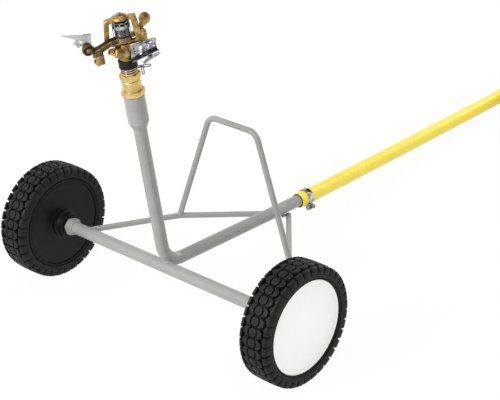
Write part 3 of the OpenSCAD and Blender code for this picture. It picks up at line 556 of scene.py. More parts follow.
def swept(name, line, radius_at, sides, inner):
    """A tube along a line; radius_at gives its radius in millimetres for a distance in millimetres.
    inner is the bore's radius, modelled a little way in from the first end."""
    runs = [0]
    for a, b in zip(line, line[1:]):
        runs.append(runs[-1] + (b - a).length)
    first_way = line[1] - line[0]
    rings = []
    # The bore and its rounded mouth, as depths from the first end and radii
    for depth, radius in ((7, inner), (0.6, inner), (0, inner + 0.5), (0, radius_at(0) - 0.7),
                          (0.7, radius_at(0))):
        rings.append((line[0] + first_way.normalized() * depth * MM, first_way, radius, 0))
    for i in range(1, len(line)):
        way = line[min(i + 1, len(line) - 1)] - line[max(i - 1, 0)]
        rings.append((line[i], way, radius_at(runs[i] / MM), runs[i]))
    points, spots = [], []
    for middle, way, radius, run in rings:
        right = way.cross(Vector((0, 0, 1))).normalized()
        up = right.cross(way.normalized())
        for k in range(sides):
            a = 2 * math.pi * k / sides
            points.append(middle + (right * math.cos(a) + up * math.sin(a)) * radius * MM)
        spots.append(run)
    faces = []
    for i in range(len(rings) - 1):
        for k in range(sides):
            here, beside = i * sides + k, i * sides + (k + 1) % sides
            faces.append((here, beside, beside + sides, here + sides))
    faces.append(tuple(range(sides)))
    faces.append(tuple((len(rings) - 1) * sides + k for k in range(sides)))
    mesh = bpy.data.meshes.new(name)
    mesh.from_pydata(points, [], faces)
    layer = mesh.uv_layers.new(name="UVMap")
    for face in mesh.polygons:
        closing = any(index % sides == sides - 1 for index in face.vertices)
        for loop in face.loop_indices:
            ring, around = divmod(mesh.loops[loop].vertex_index, sides)
            layer.data[loop].uv = (spots[ring], 1.0 if closing and around == 0 else around / sides)
    obj = bpy.data.objects.new(name, mesh)
    bpy.context.scene.collection.objects.link(obj)
    return face_out(obj, 0)


def hose_radius(run):
    """The hose is stretched over the pipe, pinched under the band, swells on both sides of it, and
    eases to its own size after it."""
    band = BAND_AT - CUFF_START
    stretched = HOSE_R + 0.95 * (1 - smooth_step((run - band - 13) / 26))
    pinch = 0.45 * math.exp(-((run - band) / 6.5) ** 4)
    before, after = band - 10, band + 10
    swell = 0.25 * (math.exp(-((run - before) / 3.5) ** 2) + math.exp(-((run - after) / 3.5) ** 2))
    return stretched - pinch + swell


# Fine steps along the cuff and a little past it, where the hose changes size, and longer ones after.
# Both runs hold the stretch at the cuff's end, so the second one drops it.
fine_start = smooth_line(hose_way[:5], FINE_STEP)
shared = len(smooth_line(hose_way[3:5], STEP)) - 1
hose_line = fine_start[:-1] + smooth_line(hose_way[3:], STEP)[shared:]
hose = swept("hose", hose_line, hose_radius, 28, PIPE_R + 0.35)
settle(hose, Matrix.Identity(4), "hose", HOSE, "cart", DRAWN_SMOOTH)
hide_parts("hose_cuff", "hose_tube", "hose_coil")


# Wheels, modelled with the axle along +Z and the middle of the tread at zero height
BLOCKS = 36
PITCH = 2 * math.pi * WHEEL_R / BLOCKS
TREAD_BASE = 93.5
HALF_WIDE = 27.5
TRACK_HALF = 305
BOSS_R = 21.5
BOSS_OUT = 14.5
WASHER_THICK = 1.5
BLOCK_HIGH = 6
WHEEL_STEPS = 128
BEAD_R = 80
WHEEL_MID = TRACK_HALF - HALF_WIDE
WASHER_AT = TRACK_HALF - 2 * HALF_WIDE - BOSS_OUT - WASHER_THICK
SIDES = ((-1, "left"), (1, "right"))
# Places on the axle, whose +Z points out to that side
AXLE_OUT = {side: Matrix.Translation(AXLE) @ Matrix.Rotation(side * math.pi / 2, 4, "Y")
            for side, _ in SIDES}


def tread_top(v):
    """Radius of the tread's crown at a distance from its middle."""
    return WHEEL_R - 1.4 * (abs(v) / HALF_WIDE) ** 2.5


def slab(outline, low_z, high_z, bevel):
    """A prism over an outline in millimetres, with eased edges."""
    mesh = bpy.data.meshes.new("slab")
    corners = [(u * MM, v * MM, low_z * MM) for u, v in outline]
    mesh.from_pydata(corners, [], [tuple(range(len(corners)))])
    obj = bpy.data.objects.new("slab", mesh)
    bpy.context.scene.collection.objects.link(obj)
    select_only(obj)
    bpy.ops.object.mode_set(mode="EDIT")
    bpy.ops.mesh.select_all(action="SELECT")
    rise = (0, 0, (high_z - low_z) * MM)
    bpy.ops.mesh.extrude_region_move(TRANSFORM_OT_translate={"value": rise})
    bpy.ops.mesh.select_all(action="SELECT")
    bpy.ops.mesh.normals_make_consistent(inside=False)
    bpy.ops.object.mode_set(mode="OBJECT")
    return modify(obj, "BEVEL", width=bevel * MM, segments=2, limit_method="ANGLE", angle_limit=SHARP)


def tread_pitch():
    """The blocks of one pitch: a hexagon in the middle, a crescent on each side of it, and a shoulder lug
    on each edge that reaches down the side wall."""
    long, wide, groove, ease = 7, 6.9, 2.1, 0.7
    hexagon_block = [(-long, -wide * 0.45), (-long * 0.55, -wide), (long * 0.55, -wide),
                     (long, -wide * 0.45), (long, wide * 0.45), (long * 0.55, wide),
                     (-long * 0.55, wide), (-long, wide * 0.45)]
    near, far = wide + groove, 17.6
    crescent = [(-7.7, 5.4), (-long * 0.52, near), (long * 0.52, near), (7.7, 5.4), (7.7, 11.6),
                (4.6, far - 1.2), (3.4, far), (-3.4, far), (-4.6, far - 1.2), (-7.7, 11.6)]
    parts = [slab(hexagon_block, 0, BLOCK_HIGH, ease)]
    parts += [slab([(u, s * v) for u, v in crescent], 0, BLOCK_HIGH, ease) for s in (-1, 1)]
    # The thin flash between neighbouring pitches
    near_side, far_side, half_long = PITCH / 2 - 0.3, PITCH / 2 + 0.3, 13
    parts.append(slab([(near_side, -half_long), (far_side, -half_long), (far_side, half_long),
                       (near_side, half_long)], 0, 4.4, 0.1))
    rubber = join(parts)
    root = TREAD_BASE - 1
    for point in rubber.data.vertices:
        u, v, up = point.co / MM
        radius = root + (tread_top(v) - root) * up / BLOCK_HIGH
        turn = u / WHEEL_R
        point.co = Vector((radius * math.cos(turn), radius * math.sin(turn), v)) * MM
    lugs = []
    side = [(88, 20.6), (tread_top(20.6), 20.6), (tread_top(23.5), 24.2), (97, 26.3), (94.4, 27.2),
            (86.2, 27.5), (85.4, 24)]
    for s in (-1, 1):
        lug = slab([(r, s * v) for r, v in side], -7.2, 7.2, 0.8)
        for point in lug.data.vertices:
            r, v, u = point.co / MM
            widen = 0.97 if r > 93 else 1.1
            turn = (u * widen + PITCH / 2) / WHEEL_R
            point.co = Vector((r * math.cos(turn), r * math.sin(turn), v)) * MM
        lugs.append(lug)
    return join([rubber] + lugs)


def tyre():
    """The carcass turned from its profile, and the pitch of blocks copied round it."""
    half = [(BEAD_R, 24.6), (80.6, 26.4), (82, 27.3), (84, 27.6), (86.6, 27.5), (87.2, 26.6),
            (91.5, 26.1), (92.8, 24.8), (TREAD_BASE, 22.5), (TREAD_BASE, 8)]
    carcass = turned(half + [(r, -v) for r, v in reversed(half)], 144)
    blocks = tread_pitch()
    step = bpy.data.objects.new("step", None)
    bpy.context.scene.collection.objects.link(step)
    step.rotation_euler.z = 2 * math.pi / BLOCKS
    bpy.context.view_layer.update()
    modify(blocks, "ARRAY", count=BLOCKS, use_relative_offset=False, use_object_offset=True,
           offset_object=step)
    bpy.data.objects.remove(step)
    face_out(blocks)
    return join([carcass, blocks])


def rim():
    """The black centre: a slightly dished web with a bead round it, a stepped boss, and the outer well
    that the white disc closes."""
    inner, outer = -HALF_WIDE, HALF_WIDE
    face, boss = inner - BOSS_OUT, BOSS_R
    return turned([
        (8.6, face), (boss - 0.8, face), (boss, face + 0.8), (boss, inner - 4.4), (boss + 0.8, inner - 3.4),
        (boss + 2.8, inner - 3.2), (boss + 3.4, inner - 2.6), (boss + 3.6, inner + 3.6), (27, inner + 4.6),
        (31, inner + 5), (68, inner + 2.8), (73.5, inner + 2.5), (74.6, inner + 3.2), (75.4, inner + 3.2),
        (76, inner + 1.4), (77.4, inner + 0.9), (79, inner + 1.4), (79.9, inner + 3), (79.9, outer - 2.6),
        (79.4, outer - 1.6), (78.3, outer - 1.4), (78, outer - 1.8), (78, outer - 6), (73, outer - 6.4),
        (73, inner + 9), (8.6, inner + 9)], WHEEL_STEPS)


def cover():
    """The white disc: flat with an eased edge, and a shallow moulded ring near its edge."""
    outer, disc_r = HALF_WIDE - 3.4, 77.7
    return turned([
        (0, outer - 2), (disc_r, outer - 2), (disc_r, outer - 0.7), (disc_r - 0.25, outer - 0.2),
        (disc_r - 0.8, outer), (74.6, outer), (74.2, outer - 0.2), (73.6, outer - 0.2), (73.2, outer),
        (0, outer + 0.05)], WHEEL_STEPS)


def wheel(side, tag):
    """One whole wheel and its washer; the left one is the right one turned about."""
    out = AXLE_OUT[side]
    spin = out @ place(0, 0, WHEEL_MID)
    body = f"wheel_{tag}"
    dress(tyre(), spin, f"tyre_{tag}", RUBBER, body, MOULDED_SMOOTH)
    dress(rim(), spin, f"rim_{tag}", BLACK, body, MOULDED_SMOOTH)
    dress(cover(), spin, f"cover_{tag}", WHITE, body, MOULDED_SMOOTH)
    washer = turned([(6.1, 0), (15.2, 0), (15.6, 0.3), (15.6, 1), (15.2, 1.3), (6.1, 1.3)], 64)
    dress(washer, out @ place(0, 0, WASHER_AT), f"washer_{tag}", BLACK, "cart")


for side, tag in SIDES:
    wheel(side, tag)


# Frame: the hexagonal ends of the axle tube and the welds, under the same coat as the tubes
HEX_LEN = 12
HEX_ACROSS = 27
BOLT_HOLE_R = 6.05
TUBE_HALF = WASHER_AT - HEX_LEN
# The arch and the braces on the level cart
ARCH_Y = 161
ARCH_HALF = 127.3
ARCH_TOP_HALF = 52.4
ARCH_TOP = 204
BRACE_FRONT = (195, 13.65, 0)
BRACE_MID = (ARCH_HALF, ARCH_Y, -3)
BRACE_END = (6, 300, -9.25)


def axle_end(side, tag):
    """The hexagon on the axle tube's end, with the bolt's hole in it and a bead of weld behind it."""
    nut = cut(hexagon(HEX_ACROSS, HEX_LEN, 0), drum(BOLT_HOLE_R, 30, verts=40, bevel=0))
    bpy.ops.mesh.primitive_torus_add(location=(0, 0, 0), major_radius=11.2 * MM, minor_radius=1.7 * MM,
                                     major_segments=64, minor_segments=12)
    both = join([nut, bpy.context.object])
    both.matrix_world = place(0, 0, TUBE_HALF, 0, 0, 10 * side)
    dress(both, AXLE_OUT[side], f"axle_end_{tag}", GREY, "cart")


def frame_at(at, up, along):
    """Matrix whose Z lies along up and whose X is closest to along."""
    z = Vector(up).normalized()
    y = z.cross(Vector(along)).normalized()
    x = y.cross(z)
    return Matrix.Translation(Vector(at) * MM) @ Matrix((x, y, z)).transposed().to_4x4()


def flare(at, up, along, wide, across, height):
    """A weld fillet that spreads from a rod along the tube or rod it stands on."""
    steps, sunk = 7, 2
    profile = [(0, -sunk)]
    for i in range(steps + 1):
        share = i / steps
        spread = (wide - ROD_R) * (1 - share) ** 2.6
        profile.append((ROD_R - 0.2 + spread, -sunk + (height + sunk) * share))
    obj = turned(profile + [(0, height)], 40)
    for point in obj.data.vertices:
        low_share = max(0, 1 - point.co.z / MM / height)
        point.co.y *= 1 - (1 - across / wide) * min(1, low_share) ** 1.5
    obj.matrix_world = frame_at(at, up, along)
    return obj


def near_line(point, line):
    """Distance from a point to a run of straight pieces, in millimetres."""
    gaps = []
    for a, b in zip(line, line[1:]):
        t = min(max((point - a).dot(b - a) / (b - a).length_squared, 0), 1)
        gaps.append((point - a - (b - a) * t).length)
    return min(gaps)


def main_weld():
    """The fillet where the long pipe's bend sits in the axle tube, along the crease between the two."""
    corner = Vector((0, BEND_Y, PIPE_UP))
    riser = Matrix.Rotation(RISER_LEAN, 3, "X") @ Vector((0, 0, 150))
    way = [tuple(corner + riser), tuple(corner), (0, 200, PIPE_UP)]
    line = [Vector(p) for p in rounded(way, BEND_R, 24)]
    edge = []
    for degrees in range(-40, 221, 4):
        a = math.radians(degrees)
        y, z = PIPE_R * math.cos(a), PIPE_R * math.sin(a)
        # From outside inwards in steps of 0.1 mm, until the axle tube's side meets the pipe's
        for x in [i * 0.1 for i in range(140, -1, -1)]:
            if near_line(Vector((x, y, z)), line) <= PIPE_R:
                edge.append((x, y, z))
                break
    loop = edge + [(-x, y, z) for x, y, z in reversed(edge)]
    bead = wire(loop, 3.2, closed=True, sides=5)
    wave = bpy.data.textures.new("weld_ripple", "CLOUDS")
    wave.noise_scale = 7 * MM
    modify(bead, "SUBSURF", levels=1)
    return modify(bead, "DISPLACE", texture=wave, strength=1.2 * MM, mid_level=0.5)


beads = [main_weld()]
for side, _ in SIDES:
    foot, mid, end = [(side * x, y, z) for x, y, z in (BRACE_FRONT, BRACE_MID, BRACE_END)]
    # Fillets under the arch's foot and the brace's front end, and a rippled bead beside its rear end
    leg = (-side * (ARCH_HALF - ARCH_TOP_HALF), 0, ARCH_TOP + 3)
    beads.append(flare(mid, leg, Vector(end) - Vector(foot), 10.5, 5.4, 13))
    beads.append(flare((foot[0], 10, 0), Vector(mid) - Vector(foot), (1, 0, 0), 8.5, 7.5, 9))
    tack = wire([(side * 4.5, y, -7 + 0.6 * math.sin(y)) for y in range(284, 303, 3)], 2.4)
    beads.append(modify(tack, "SUBSURF", levels=1))
with_piece(join(beads), CART, "frame_welds", GREY, "cart", WELD_SMOOTH)
for side, tag in SIDES:
    axle_end(side, tag)


# Inlet of the sprinkler: adapter on the riser, bearing nipple with its two wire collars, dust sleeve
UPPER_AT = 46
LOWER_AT = 42.3
COLLAR_WIRE_R = 0.85
SPINDLE_BORE_R = 9


def inlet_adapter():
    """A hexagon with a turned barrel on it, and a narrower foot that leaves a dark gap under it."""
    barrel = turned([(11, 10), (14.2, 10), (15, 10.4), (15, 26.3), (14.6, 26.8), (13.6, 27), (11, 27)], 72)
    nut = cut(hexagon(32.6, 10, 0.3), drum(SPINDLE_BORE_R, 30, (0, 0, 5), bevel=0))
    nut.matrix_world = Matrix.Rotation(math.radians(-5), 4, "Z") @ nut.matrix_world
    return join([nut, barrel, drum(14, 1, (0, 0, 0.1), bevel=0)])


def bearing_nipple():
    """A hexagon that the two grooves for the wire collars are turned above."""
    core = [(8.3, 38), (12.9, 38)]
    for height in (LOWER_AT, UPPER_AT):
        core += [(12.9, height - 1.3), (10.8, height - 1.2), (10.8, height + 1.2), (12.9, height + 1.3)]
    core += [(12.9, 48.6), (12.5, 49), (8.3, 49)]
    nut = cut(hexagon(29, 11.6, 27.4), drum(SPINDLE_BORE_R, 40, (0, 0, 33), bevel=0))
    nut.matrix_world = Matrix.Rotation(math.radians(-10), 4, "Z") @ nut.matrix_world
    return join([nut, turned(core, 72)])


def collar(height, start, path, radius):
    """A spring-steel wire round its groove, its ends drawn out into a finger loop; the path's points are
    distances outwards from the ring, sideways and up."""
    ring = helix(12.3, COLLAR_WIRE_R, 1, height, height, 96)
    loop = wire(rounded([(11.9 + out, side, height + up) for out, side, up in path], radius), COLLAR_WIRE_R)
    loop.matrix_world = Matrix.Rotation(math.radians(start), 4, "Z")
    return join([ring, loop])


def dust_sleeve():
    """A black rubber cup with a rolled lower lip and a small bead round its top."""
    return turned([(8, 61.5), (8, 59.6), (12, 59.4), (12, 49.2), (14.2, 49.1), (14.6, 49.6), (14.6, 51),
                   (14.3, 51.6), (14.3, 58.4), (14.7, 59), (14.7, 60.4), (14.1, 61.3), (11.2, 61.5)], 72)


UPPER_LOOP = [(0, 3.4, 0), (21.9, 3.4, 0), (21.9, -3.4, 0), (0, -3.4, 0)]
LOWER_LOOP = [(0, 2.2, 0), (8, 2.2, 0), (8.2, 0.2, -2.6), (8.2, 0, -13.6), (9, 0, -15.2), (11, 0, -15.2),
              (11.8, 0, -13.6), (11.8, -0.2, -2.6), (11.6, -2.2, 0), (0, -2.2, 0)]
dress(inlet_adapter(), HEAD, "inlet_adapter", BRASS, "cart")
dress(bearing_nipple(), HEAD, "bearing_nipple", BRASS, "cart")
dress(collar(UPPER_AT, 45, UPPER_LOOP, 3.2), HEAD, "collar_upper", SPRING, "collar_upper",
      DRAWN_SMOOTH)
dress(collar(LOWER_AT, 72, LOWER_LOOP, 1), HEAD, "collar_lower", SPRING, "collar_lower",
      DRAWN_SMOOTH)
dress(dust_sleeve(), SPRINKLER, "dust_sleeve", SEAL_AND_SHADE, "sprinkler")
dress(helix(9.8, 0.95, 3, 50.3, 58.2), SPRINKLER, "bearing_spring", SPRING, "sprinkler",
      DRAWN_SMOOTH)


# Sprinkler body, cast in one piece, in the turning sprinkler's frame: the jet leaves towards -Y
BRIDGE_TURN = place(0, 0, 0, 0, 0, -20)
BRIDGE = SPRINKLER @ BRIDGE_TURN
ELBOW_H = 73
JET = place(0, 0, ELBOW_H, 70)
NOZZLE_BORE_R = 3.3
PIN_R = 2.5
CAP_SLOT_STEP = 40


def bridge():
    """The cast bridge: a narrow front leg, a wide rear leg, and between them a window."""
    outer = eased_outline([(-30, 88.5), (-24.5, 128.5), (-20, 131), (-12, 132.5), (12, 133.5),
                           (24, 133.5), (30, 88.5), (12, 86.5), (-12, 86.5)], 1.6)
    window = eased_outline([(-21.5, 93), (-17.5, 124), (-10, 127.5), (10, 128.5), (16, 126.5),
                            (18.5, 93.5), (6, 92), (-8, 92)], 1.4)
    return upright([outer, window], 8.4, 0, 1.1)


def sprinkler_body():
    """The neck, the elbow with its barrel and plug boss, the bridge with its dome and the stop on its
    leg."""
    neck = turned([(8, 61.6), (10.2, 61.6), (10.8, 62.2), (10.8, 63.6), (10.2, 64.4), (10.2, 67), (11, 70),
                   (11.4, 73), (11, 77), (9.8, 81), (8.8, 85), (8.6, 89), (0.5, 91), (0.5, 75), (8, 67)], 64)
    barrel = turned([(0.5, 2), (9.2, 2), (9.4, 15.4), (8.9, 16.6), (8, 17), (0.5, 17)], 64)
    barrel.matrix_world = JET
    boss = turned([(0.5, 4), (7.6, 4), (7.2, 13.8), (6.6, 14.8), (4.6, 15), (0.5, 15)], 48)
    boss.matrix_world = place(0, 0, ELBOW_H, -90)
    dome = turned([(PIN_R, 129), (10.5, 129), (12.8, 130), (13.2, 131.2), (12.6, 132.6), (10, 134.2),
                   (7.4, 135.4), (6.2, 136), (PIN_R, 136)], 72)
    arch = bridge()
    stop = block((10, 11.4, 14), (0, 30.2, 96), 1.2)
    stop_top = block((6.4, 6, 5), (0, 31, 104), 1.2)
    for part in (arch, stop, stop_top):
        part.matrix_world = BRIDGE_TURN @ part.matrix_world
    return join([neck, barrel, boss, dome, arch, stop, stop_top])


def nozzle():
    """A turned nozzle: round shoulder, hexagon and tip, bored through."""
    bore = NOZZLE_BORE_R
    shoulder = turned([(bore, 17), (7.4, 17), (7.9, 17.6), (7.2, 19), (5.6, 19.8), (bore, 19.8)])
    tip = turned([(bore, 23.4), (5.1, 23.4), (5.1, 26.4), (4.7, 27.8), (3.7, 28), (3.4, 27.4), (bore, 20)])
    nut = cut(hexagon(11, 4, 19.6), drum(bore, 30, (0, 0, 22), 32, bevel=0))
    return join([shoulder, nut, tip])


def fulcrum_pin():
    """The arm's pin with its slotted end above the dome."""
    rod = drum(PIN_R, 50, (0, 0, 111), 32)
    end = cut(drum(3.6, 3, (0, 0, 137.2), 40, bevel=0.6), block((9, 0.9, 1.6), (0, 0, 138.6), 0))
    return join([rod, end])


def spring_cap():
    """A pressed steel cup over the arm's spring, with slots round its side and a strap down each side."""
    cup = turned([(2.6, 127.8), (11.4, 127.8), (12.5, 127.2), (12.9, 126.2), (12.9, 115.4), (12.3, 115.4),
                  (12.3, 126), (11.4, 127), (2.6, 127)], 96)
    for angle in range(0, 360, CAP_SLOT_STEP):
        slot = block((5, 7.2, 4.2), (0, 0, 0), 0)
        slot.matrix_world = place(0, 0, 0, 0, 0, angle + 10) @ place(12.6, 0, 123.2)
        cup = cut(cup, slot)
    straps = []
    for side in (-1, 1):
        straps.append(block((6.2, 0.9, 25), (0, side * 13.3, 115.4), 0.25))
        straps.append(block((6.2, 3.4, 0.9), (0, side * 12.1, 127.5), 0.25))
    return join([cup] + straps)


dress(sprinkler_body(), SPRINKLER, "sprinkler_body", CAST, "sprinkler", MOULDED_SMOOTH)
dress(nozzle(), SPRINKLER @ JET, "nozzle", BRASS, "sprinkler")
dress(fulcrum_pin(), SPRINKLER, "fulcrum_pin", ZINC, "sprinkler")
dress(spring_cap(), BRIDGE, "spring_cap", ZINC, "sprinkler")
dress(helix(10.9, 0.62, 9, 104.1, 120.9), SPRINKLER, "arm_spring", SPRING, "sprinkler",
      DRAWN_SMOOTH)
# Painted shade: a black cylinder inside the spring shows between its turns and in the cap's slots
with_piece(drum(9.7, 22.4, (0, 0, 115.6), 64), SPRINKLER, "spring_painted_shade", SEAL_AND_SHADE, "sprinkler")
# Painted shade: a dark disc deep in the nozzle's mouth closes its bore
with_piece(drum(NOZZLE_BORE_R, 1, (0, 0, 26.9), 32), SPRINKLER @ JET, "nozzle_painted_shade", SEAL_AND_SHADE,
           "sprinkler")


# Drive arm on its pin, in the sprinkler's frame, its front towards -Y
EYE = (-58, 97.5)
BEAM_THICK = 11
BEAM_X = 2.2
POCKET = [(-9, 95.4), (-9, 101.4), (-22, 100.2), (-40, 95.6), (-40, 89.7), (-22, 95.3)]


def drive_arm():
    """The cast arm: beam with a pocket in each side, hub with its grooves, and tail with its disc."""
    beam_line = eased_outline([(-3, 94), (-3, 103.4), (-22, 102), (-46, 96), (-46, 86.5), (-22, 94)], 1)
    beam = upright([beam_line], BEAM_THICK, BEAM_X, 0.7)
    for side in (-1, 1):
        beam = cut(beam, upright([eased_outline(POCKET, 0.8)], 3.2, BEAM_X + side * 5.9, 0.1))
    hub = turned([(2.7, 93.2), (12.6, 93.2), (13.2, 93.8), (13.2, 95), (11, 95.2), (11, 97), (13, 97.2),
                  (13, 98.4), (11, 98.6), (11, 100.4), (12.4, 100.6), (12.4, 101.6), (8, 102.2),
                  (8, 102.8), (2.7, 103.1)], 72)
    tail_line = eased_outline([(3.4, 94), (3.4, 101.6), (24, 102.4), (31.5, 113), (46.5, 113.5),
                               (42, 108.5), (33.5, 103.5), (30, 95.5), (26, 94.2)], 1)
    tail = upright([tail_line], 5.2, -0.6, 0.8)
    disc = drum(9, 6.4, (0, 39, 117.4), 64, "X", 1.2)
    return join([beam, hub, tail, disc])


def spoon():
    """The spoon under the beam's end: an open channel that the jet strikes, its lip curled up."""
    outline = [(8, 85), (8, 70.2), (7, 69.2), (-5.6, 69.2), (-8, 71), (-8, 74.4), (-6.8, 74.8),
               (-5, 72.6), (1.4, 72.6), (3.4, 74.6), (3.8, 78), (2.2, 80.6), (-1.2, 81.4), (-3.8, 80.4),
               (-6, 77.4), (-8, 78.2), (-8, 85)]
    channel = plate([outline], 12.4, 0.5)
    channel.matrix_world = place(0, -44, 0, 90)
    return channel


def spoon_block():
    """The beam's grey end over the spoon, its corners rounded."""
    top = block((16, 12.5, 10.4), (0, -44, 89.8), 1.6)
    return join([top, block((7, 9, 4), (0, -39.5, 94.4), 1.2, (-8, 0, 0))])


def eye_lug():
    """The lug in front with its eye, a ring with a raised rim."""
    neck_line = eased_outline([(-46, 85.8), (-45.4, 95), (-52, 104.6), (-58, 101), (-55.5, 90)], 1.2)
    neck = upright([neck_line], 5, 0, 0.7)
    ring = turned([(2.6, -2.6), (6.2, -2.6), (7, -3), (8.4, -3), (9, -2.4), (9, 2.4), (8.4, 3), (7, 3),
                   (6.2, 2.4), (2.6, 2.4)], 64)
    ring.matrix_world = place(0, *EYE, 0, 90)
    return join([neck, ring])


def pocket_patina_and_shade():
    """The floors of the beam's pockets, darker: grey-brown patina and painted shade."""
    return join([upright([POCKET], 0.3, BEAM_X + side * 4.35, 0.05) for side in (-1, 1)])


def beam_top_patina_and_shade():
    """The upper face of the beam, darker: grey-brown patina and painted shade."""
    return join([block((8.6, 23.6, 0.4), (BEAM_X, -34, 99.15), 0.1, (14, 0, 0)),
                 block((8.6, 10, 0.4), (BEAM_X, -17.4, 102.45), 0.1, (4.2, 0, 0))])


def hub_wires():
    """Two turns of spring wire in the hub's grooves."""
    return join([helix(12.1, 0.8, 1, h, h, 96) for h in (96.1, 99.5)])


def deflector():
    """The bent sheet-steel blade on the eye: a long point, a short stem, a flange along its rear end and
    a bent tab with a stud."""
    reach = [(-37.3, 35.2), (-24.7, 27.3), (-10.6, 17.5), (-5, 14.6), (-6.6, 9.8), (-7, 3)]
    back = [(7.4, 2), (9, 12), (10, 21), (0.7, 23.5)]
    eye_y, eye_h = EYE
    outline = [(eye_y + y, eye_h + h) for y, h in reach + arc(0, 0, 7.4, 180, 360, 14) + back]
    hole = circle(eye_y, eye_h, 2.7, 24)
    blade = upright([outline, hole], 1, -3.65, 0.15)
    flange = block((5.5, 12, 0.9), (-6, eye_y + 4.9, eye_h + 21.9), 0.2, (-14, 0, 0))
    tab = block((1, 8, 13), (-3.4, eye_y - 13, eye_h + 13.4), 0.2, (28, 0, 0))
    stud = drum(2.2, 4.4, (-2.6, eye_y - 14, eye_h + 11), 24, "X", 0.5)
    return join([blade, flange, tab, stud])


def deflector_screw():
    """The eye's screw: slotted head, shank and the nut on its other end."""
    slot = block((1.2, 10, 0.9), (5.2, *EYE), 0, (35, 0, 0))
    head = cut(drum(4.3, 2.2, (4.1, *EYE), 40, "X", 0.6), slot)
    shank = drum(2.5, 9, (0, *EYE), 32, "X")
    nut = drum(4, 2, (-5.4, *EYE), 40, "X", 0.6)
    return join([head, shank, nut])


dress(drive_arm(), SPRINKLER, "drive_arm", CAST, "arm", MOULDED_SMOOTH)
with_piece(spoon(), SPRINKLER, "spoon_channel", CAST, "arm")
with_piece(spoon_block(), SPRINKLER, "spoon_block", BRONZE, "arm")
# The eye lug's darker brass is painted shade
with_piece(eye_lug(), SPRINKLER, "eye_lug", BRASS_PAINTED_SHADE, "arm")
with_piece(pocket_patina_and_shade(), SPRINKLER, "pocket_patina_and_shade", BRONZE, "arm")
with_piece(beam_top_patina_and_shade(), SPRINKLER, "beam_top_patina_and_shade", TOP_PATINA_AND_SHADE, "arm")
with_piece(hub_wires(), SPRINKLER, "hub_wires", SPRING, "arm", DRAWN_SMOOTH)
dress(deflector(), SPRINKLER, "deflector", STAINLESS, "deflector")
dress(deflector_screw(), SPRINKLER, "deflector_screw", ZINC, "arm")


# Trip beside the body: plate, lever, its spring and rivets
PLATE_LOW = 63
PLATE_X = 13.1
LEVER_PIN = (32, 62)
TRIP_WIRE_R = 0.45


def trip_bracket():
    """A pressed plate with holes, a flange along its lower edge, a fold along its rear one, a rib and an
    ear for the lever's pin."""
    outline = eased_outline([(1.3, PLATE_LOW), (5, 88.3), (43.4, 88.3), (46, 68.4)], 1.2, 3)
    holes = [circle(y, PLATE_LOW + h, r) for y, h, r in
             ((19.5, 16, 3.4), (18.2, 6.5, 2), (36.7, 20, 2.4), (41, 12, 1.6), (8.4, 18, 1.5))]
    flat = upright([outline] + holes, 1.2, PLATE_X, 0.2)
    flange = block((8.2, 44.6, 1.2), (PLATE_X + 3.6, 23.6, 66.2), 0.3, (6.9, 0, 0))
    fold = block((3, 1, 15), (PLATE_X + 1.2, 44.2, 80), 0.2, (-6, 0, 0))
    rib = block((1.4, 26, 2), (PLATE_X + 0.5, 27, 84), 0.6, (4, 0, 0))
    ear = block((1.2, 8, 12), (PLATE_X, 32, 64), 0.3)
    return join([flat, flange, fold, rib, ear])


def trip_lever():
    """The bent lever under the flange, from its pin to the tail that stands out behind."""
    pin_y, pin_h = LEVER_PIN
    shape = [(-13.5, -9), (-14, -5.5), (-7, -0.5), (-2, 2), (3, 2), (14, 3), (16.5, 0), (14, -1.5),
             (5, -3.5), (-5, -5.5)]
    outline = eased_outline([(pin_y + y, pin_h + h) for y, h in shape], 0.6, 3)
    hole = circle(pin_y, pin_h, 1.8)
    return upright([outline, hole], 2, 18.2, 0.3)


def trip_spring():
    """The lever's coil spring, which stands on the flange, and its hooked end."""
    x = 17.2
    coil = helix(2.2, TRIP_WIRE_R, 5, 0, 9.5, 16)
    coil.matrix_world = place(x, 25, 67.8)
    hook = wire(rounded([(x, 27.2, 68), (x, 31, 69), (x, 36, 66), (x, 40, 67)], 1.5), TRIP_WIRE_R, sides=3)
    return join([coil, hook])


def trip_rivets():
    """The heads of two rivets on the plate."""
    return join([drum(2.2, 1.4, (PLATE_X + 1.2, y, h), 24, "X", 0.5) for y, h in ((9, 75), (30, 77))])


def trip_pin():
    """The lever's pin with its round head."""
    return join([drum(1.5, 9.4, (16.8, *LEVER_PIN), 24, "X"),
                 drum(2.6, 1.5, (20.5, *LEVER_PIN), 32, "X", 0.4)])


dress(trip_bracket(), SPRINKLER, "trip_bracket", ZINC, "sprinkler")
dress(trip_lever(), SPRINKLER, "trip_lever", ZINC, "trip")
dress(trip_spring(), SPRINKLER, "trip_spring", SPRING, "sprinkler", DRAWN_SMOOTH)
dress(trip_rivets(), SPRINKLER, "trip_rivets", ZINC, "sprinkler")
dress(trip_pin(), SPRINKLER, "trip_pin", ZINC, "sprinkler")


# Worm clamp over the hose end: slotted band, housing and screw
BAND_R = 15
BAND_SLOTS = 4
WORM_AT = 20
SCREW_R = 2.9
CLAMP = CART @ place(0, BAND_AT, PIPE_UP, -90)
WORM = CLAMP @ place(0, 0, 0, 0, 0, -35) @ place(0, WORM_AT, 0)


def clamp_band():
    """A steel band with rolled edges, its slots cut right through."""
    band = turned([(14.05, -6), (14.8, -6), (15.15, -5.7), (15.15, -4.6), (15, -4.2), (15, 4.2),
                   (15.15, 4.6), (15.15, 5.7), (14.8, 6), (14.05, 6)], 120)
    for i in range(BAND_SLOTS):
        slot = block((1.6, 2.4, 9.4), (0, 0, 0), 0)
        slot.matrix_world = place(0, 0, 0, 0, 0, 188 + 8 * i) @ place(0, BAND_R, 0)
        band = cut(band, slot)
    return band


def clamp_housing():
    """The bent housing that holds the worm against the band."""
    shell = block((11, 8.6, 13), (0.5, -0.3, 0), 1.6)
    bore = drum(3.6, 40, axis="X", verts=40, bevel=0)
    return cut(shell, bore)


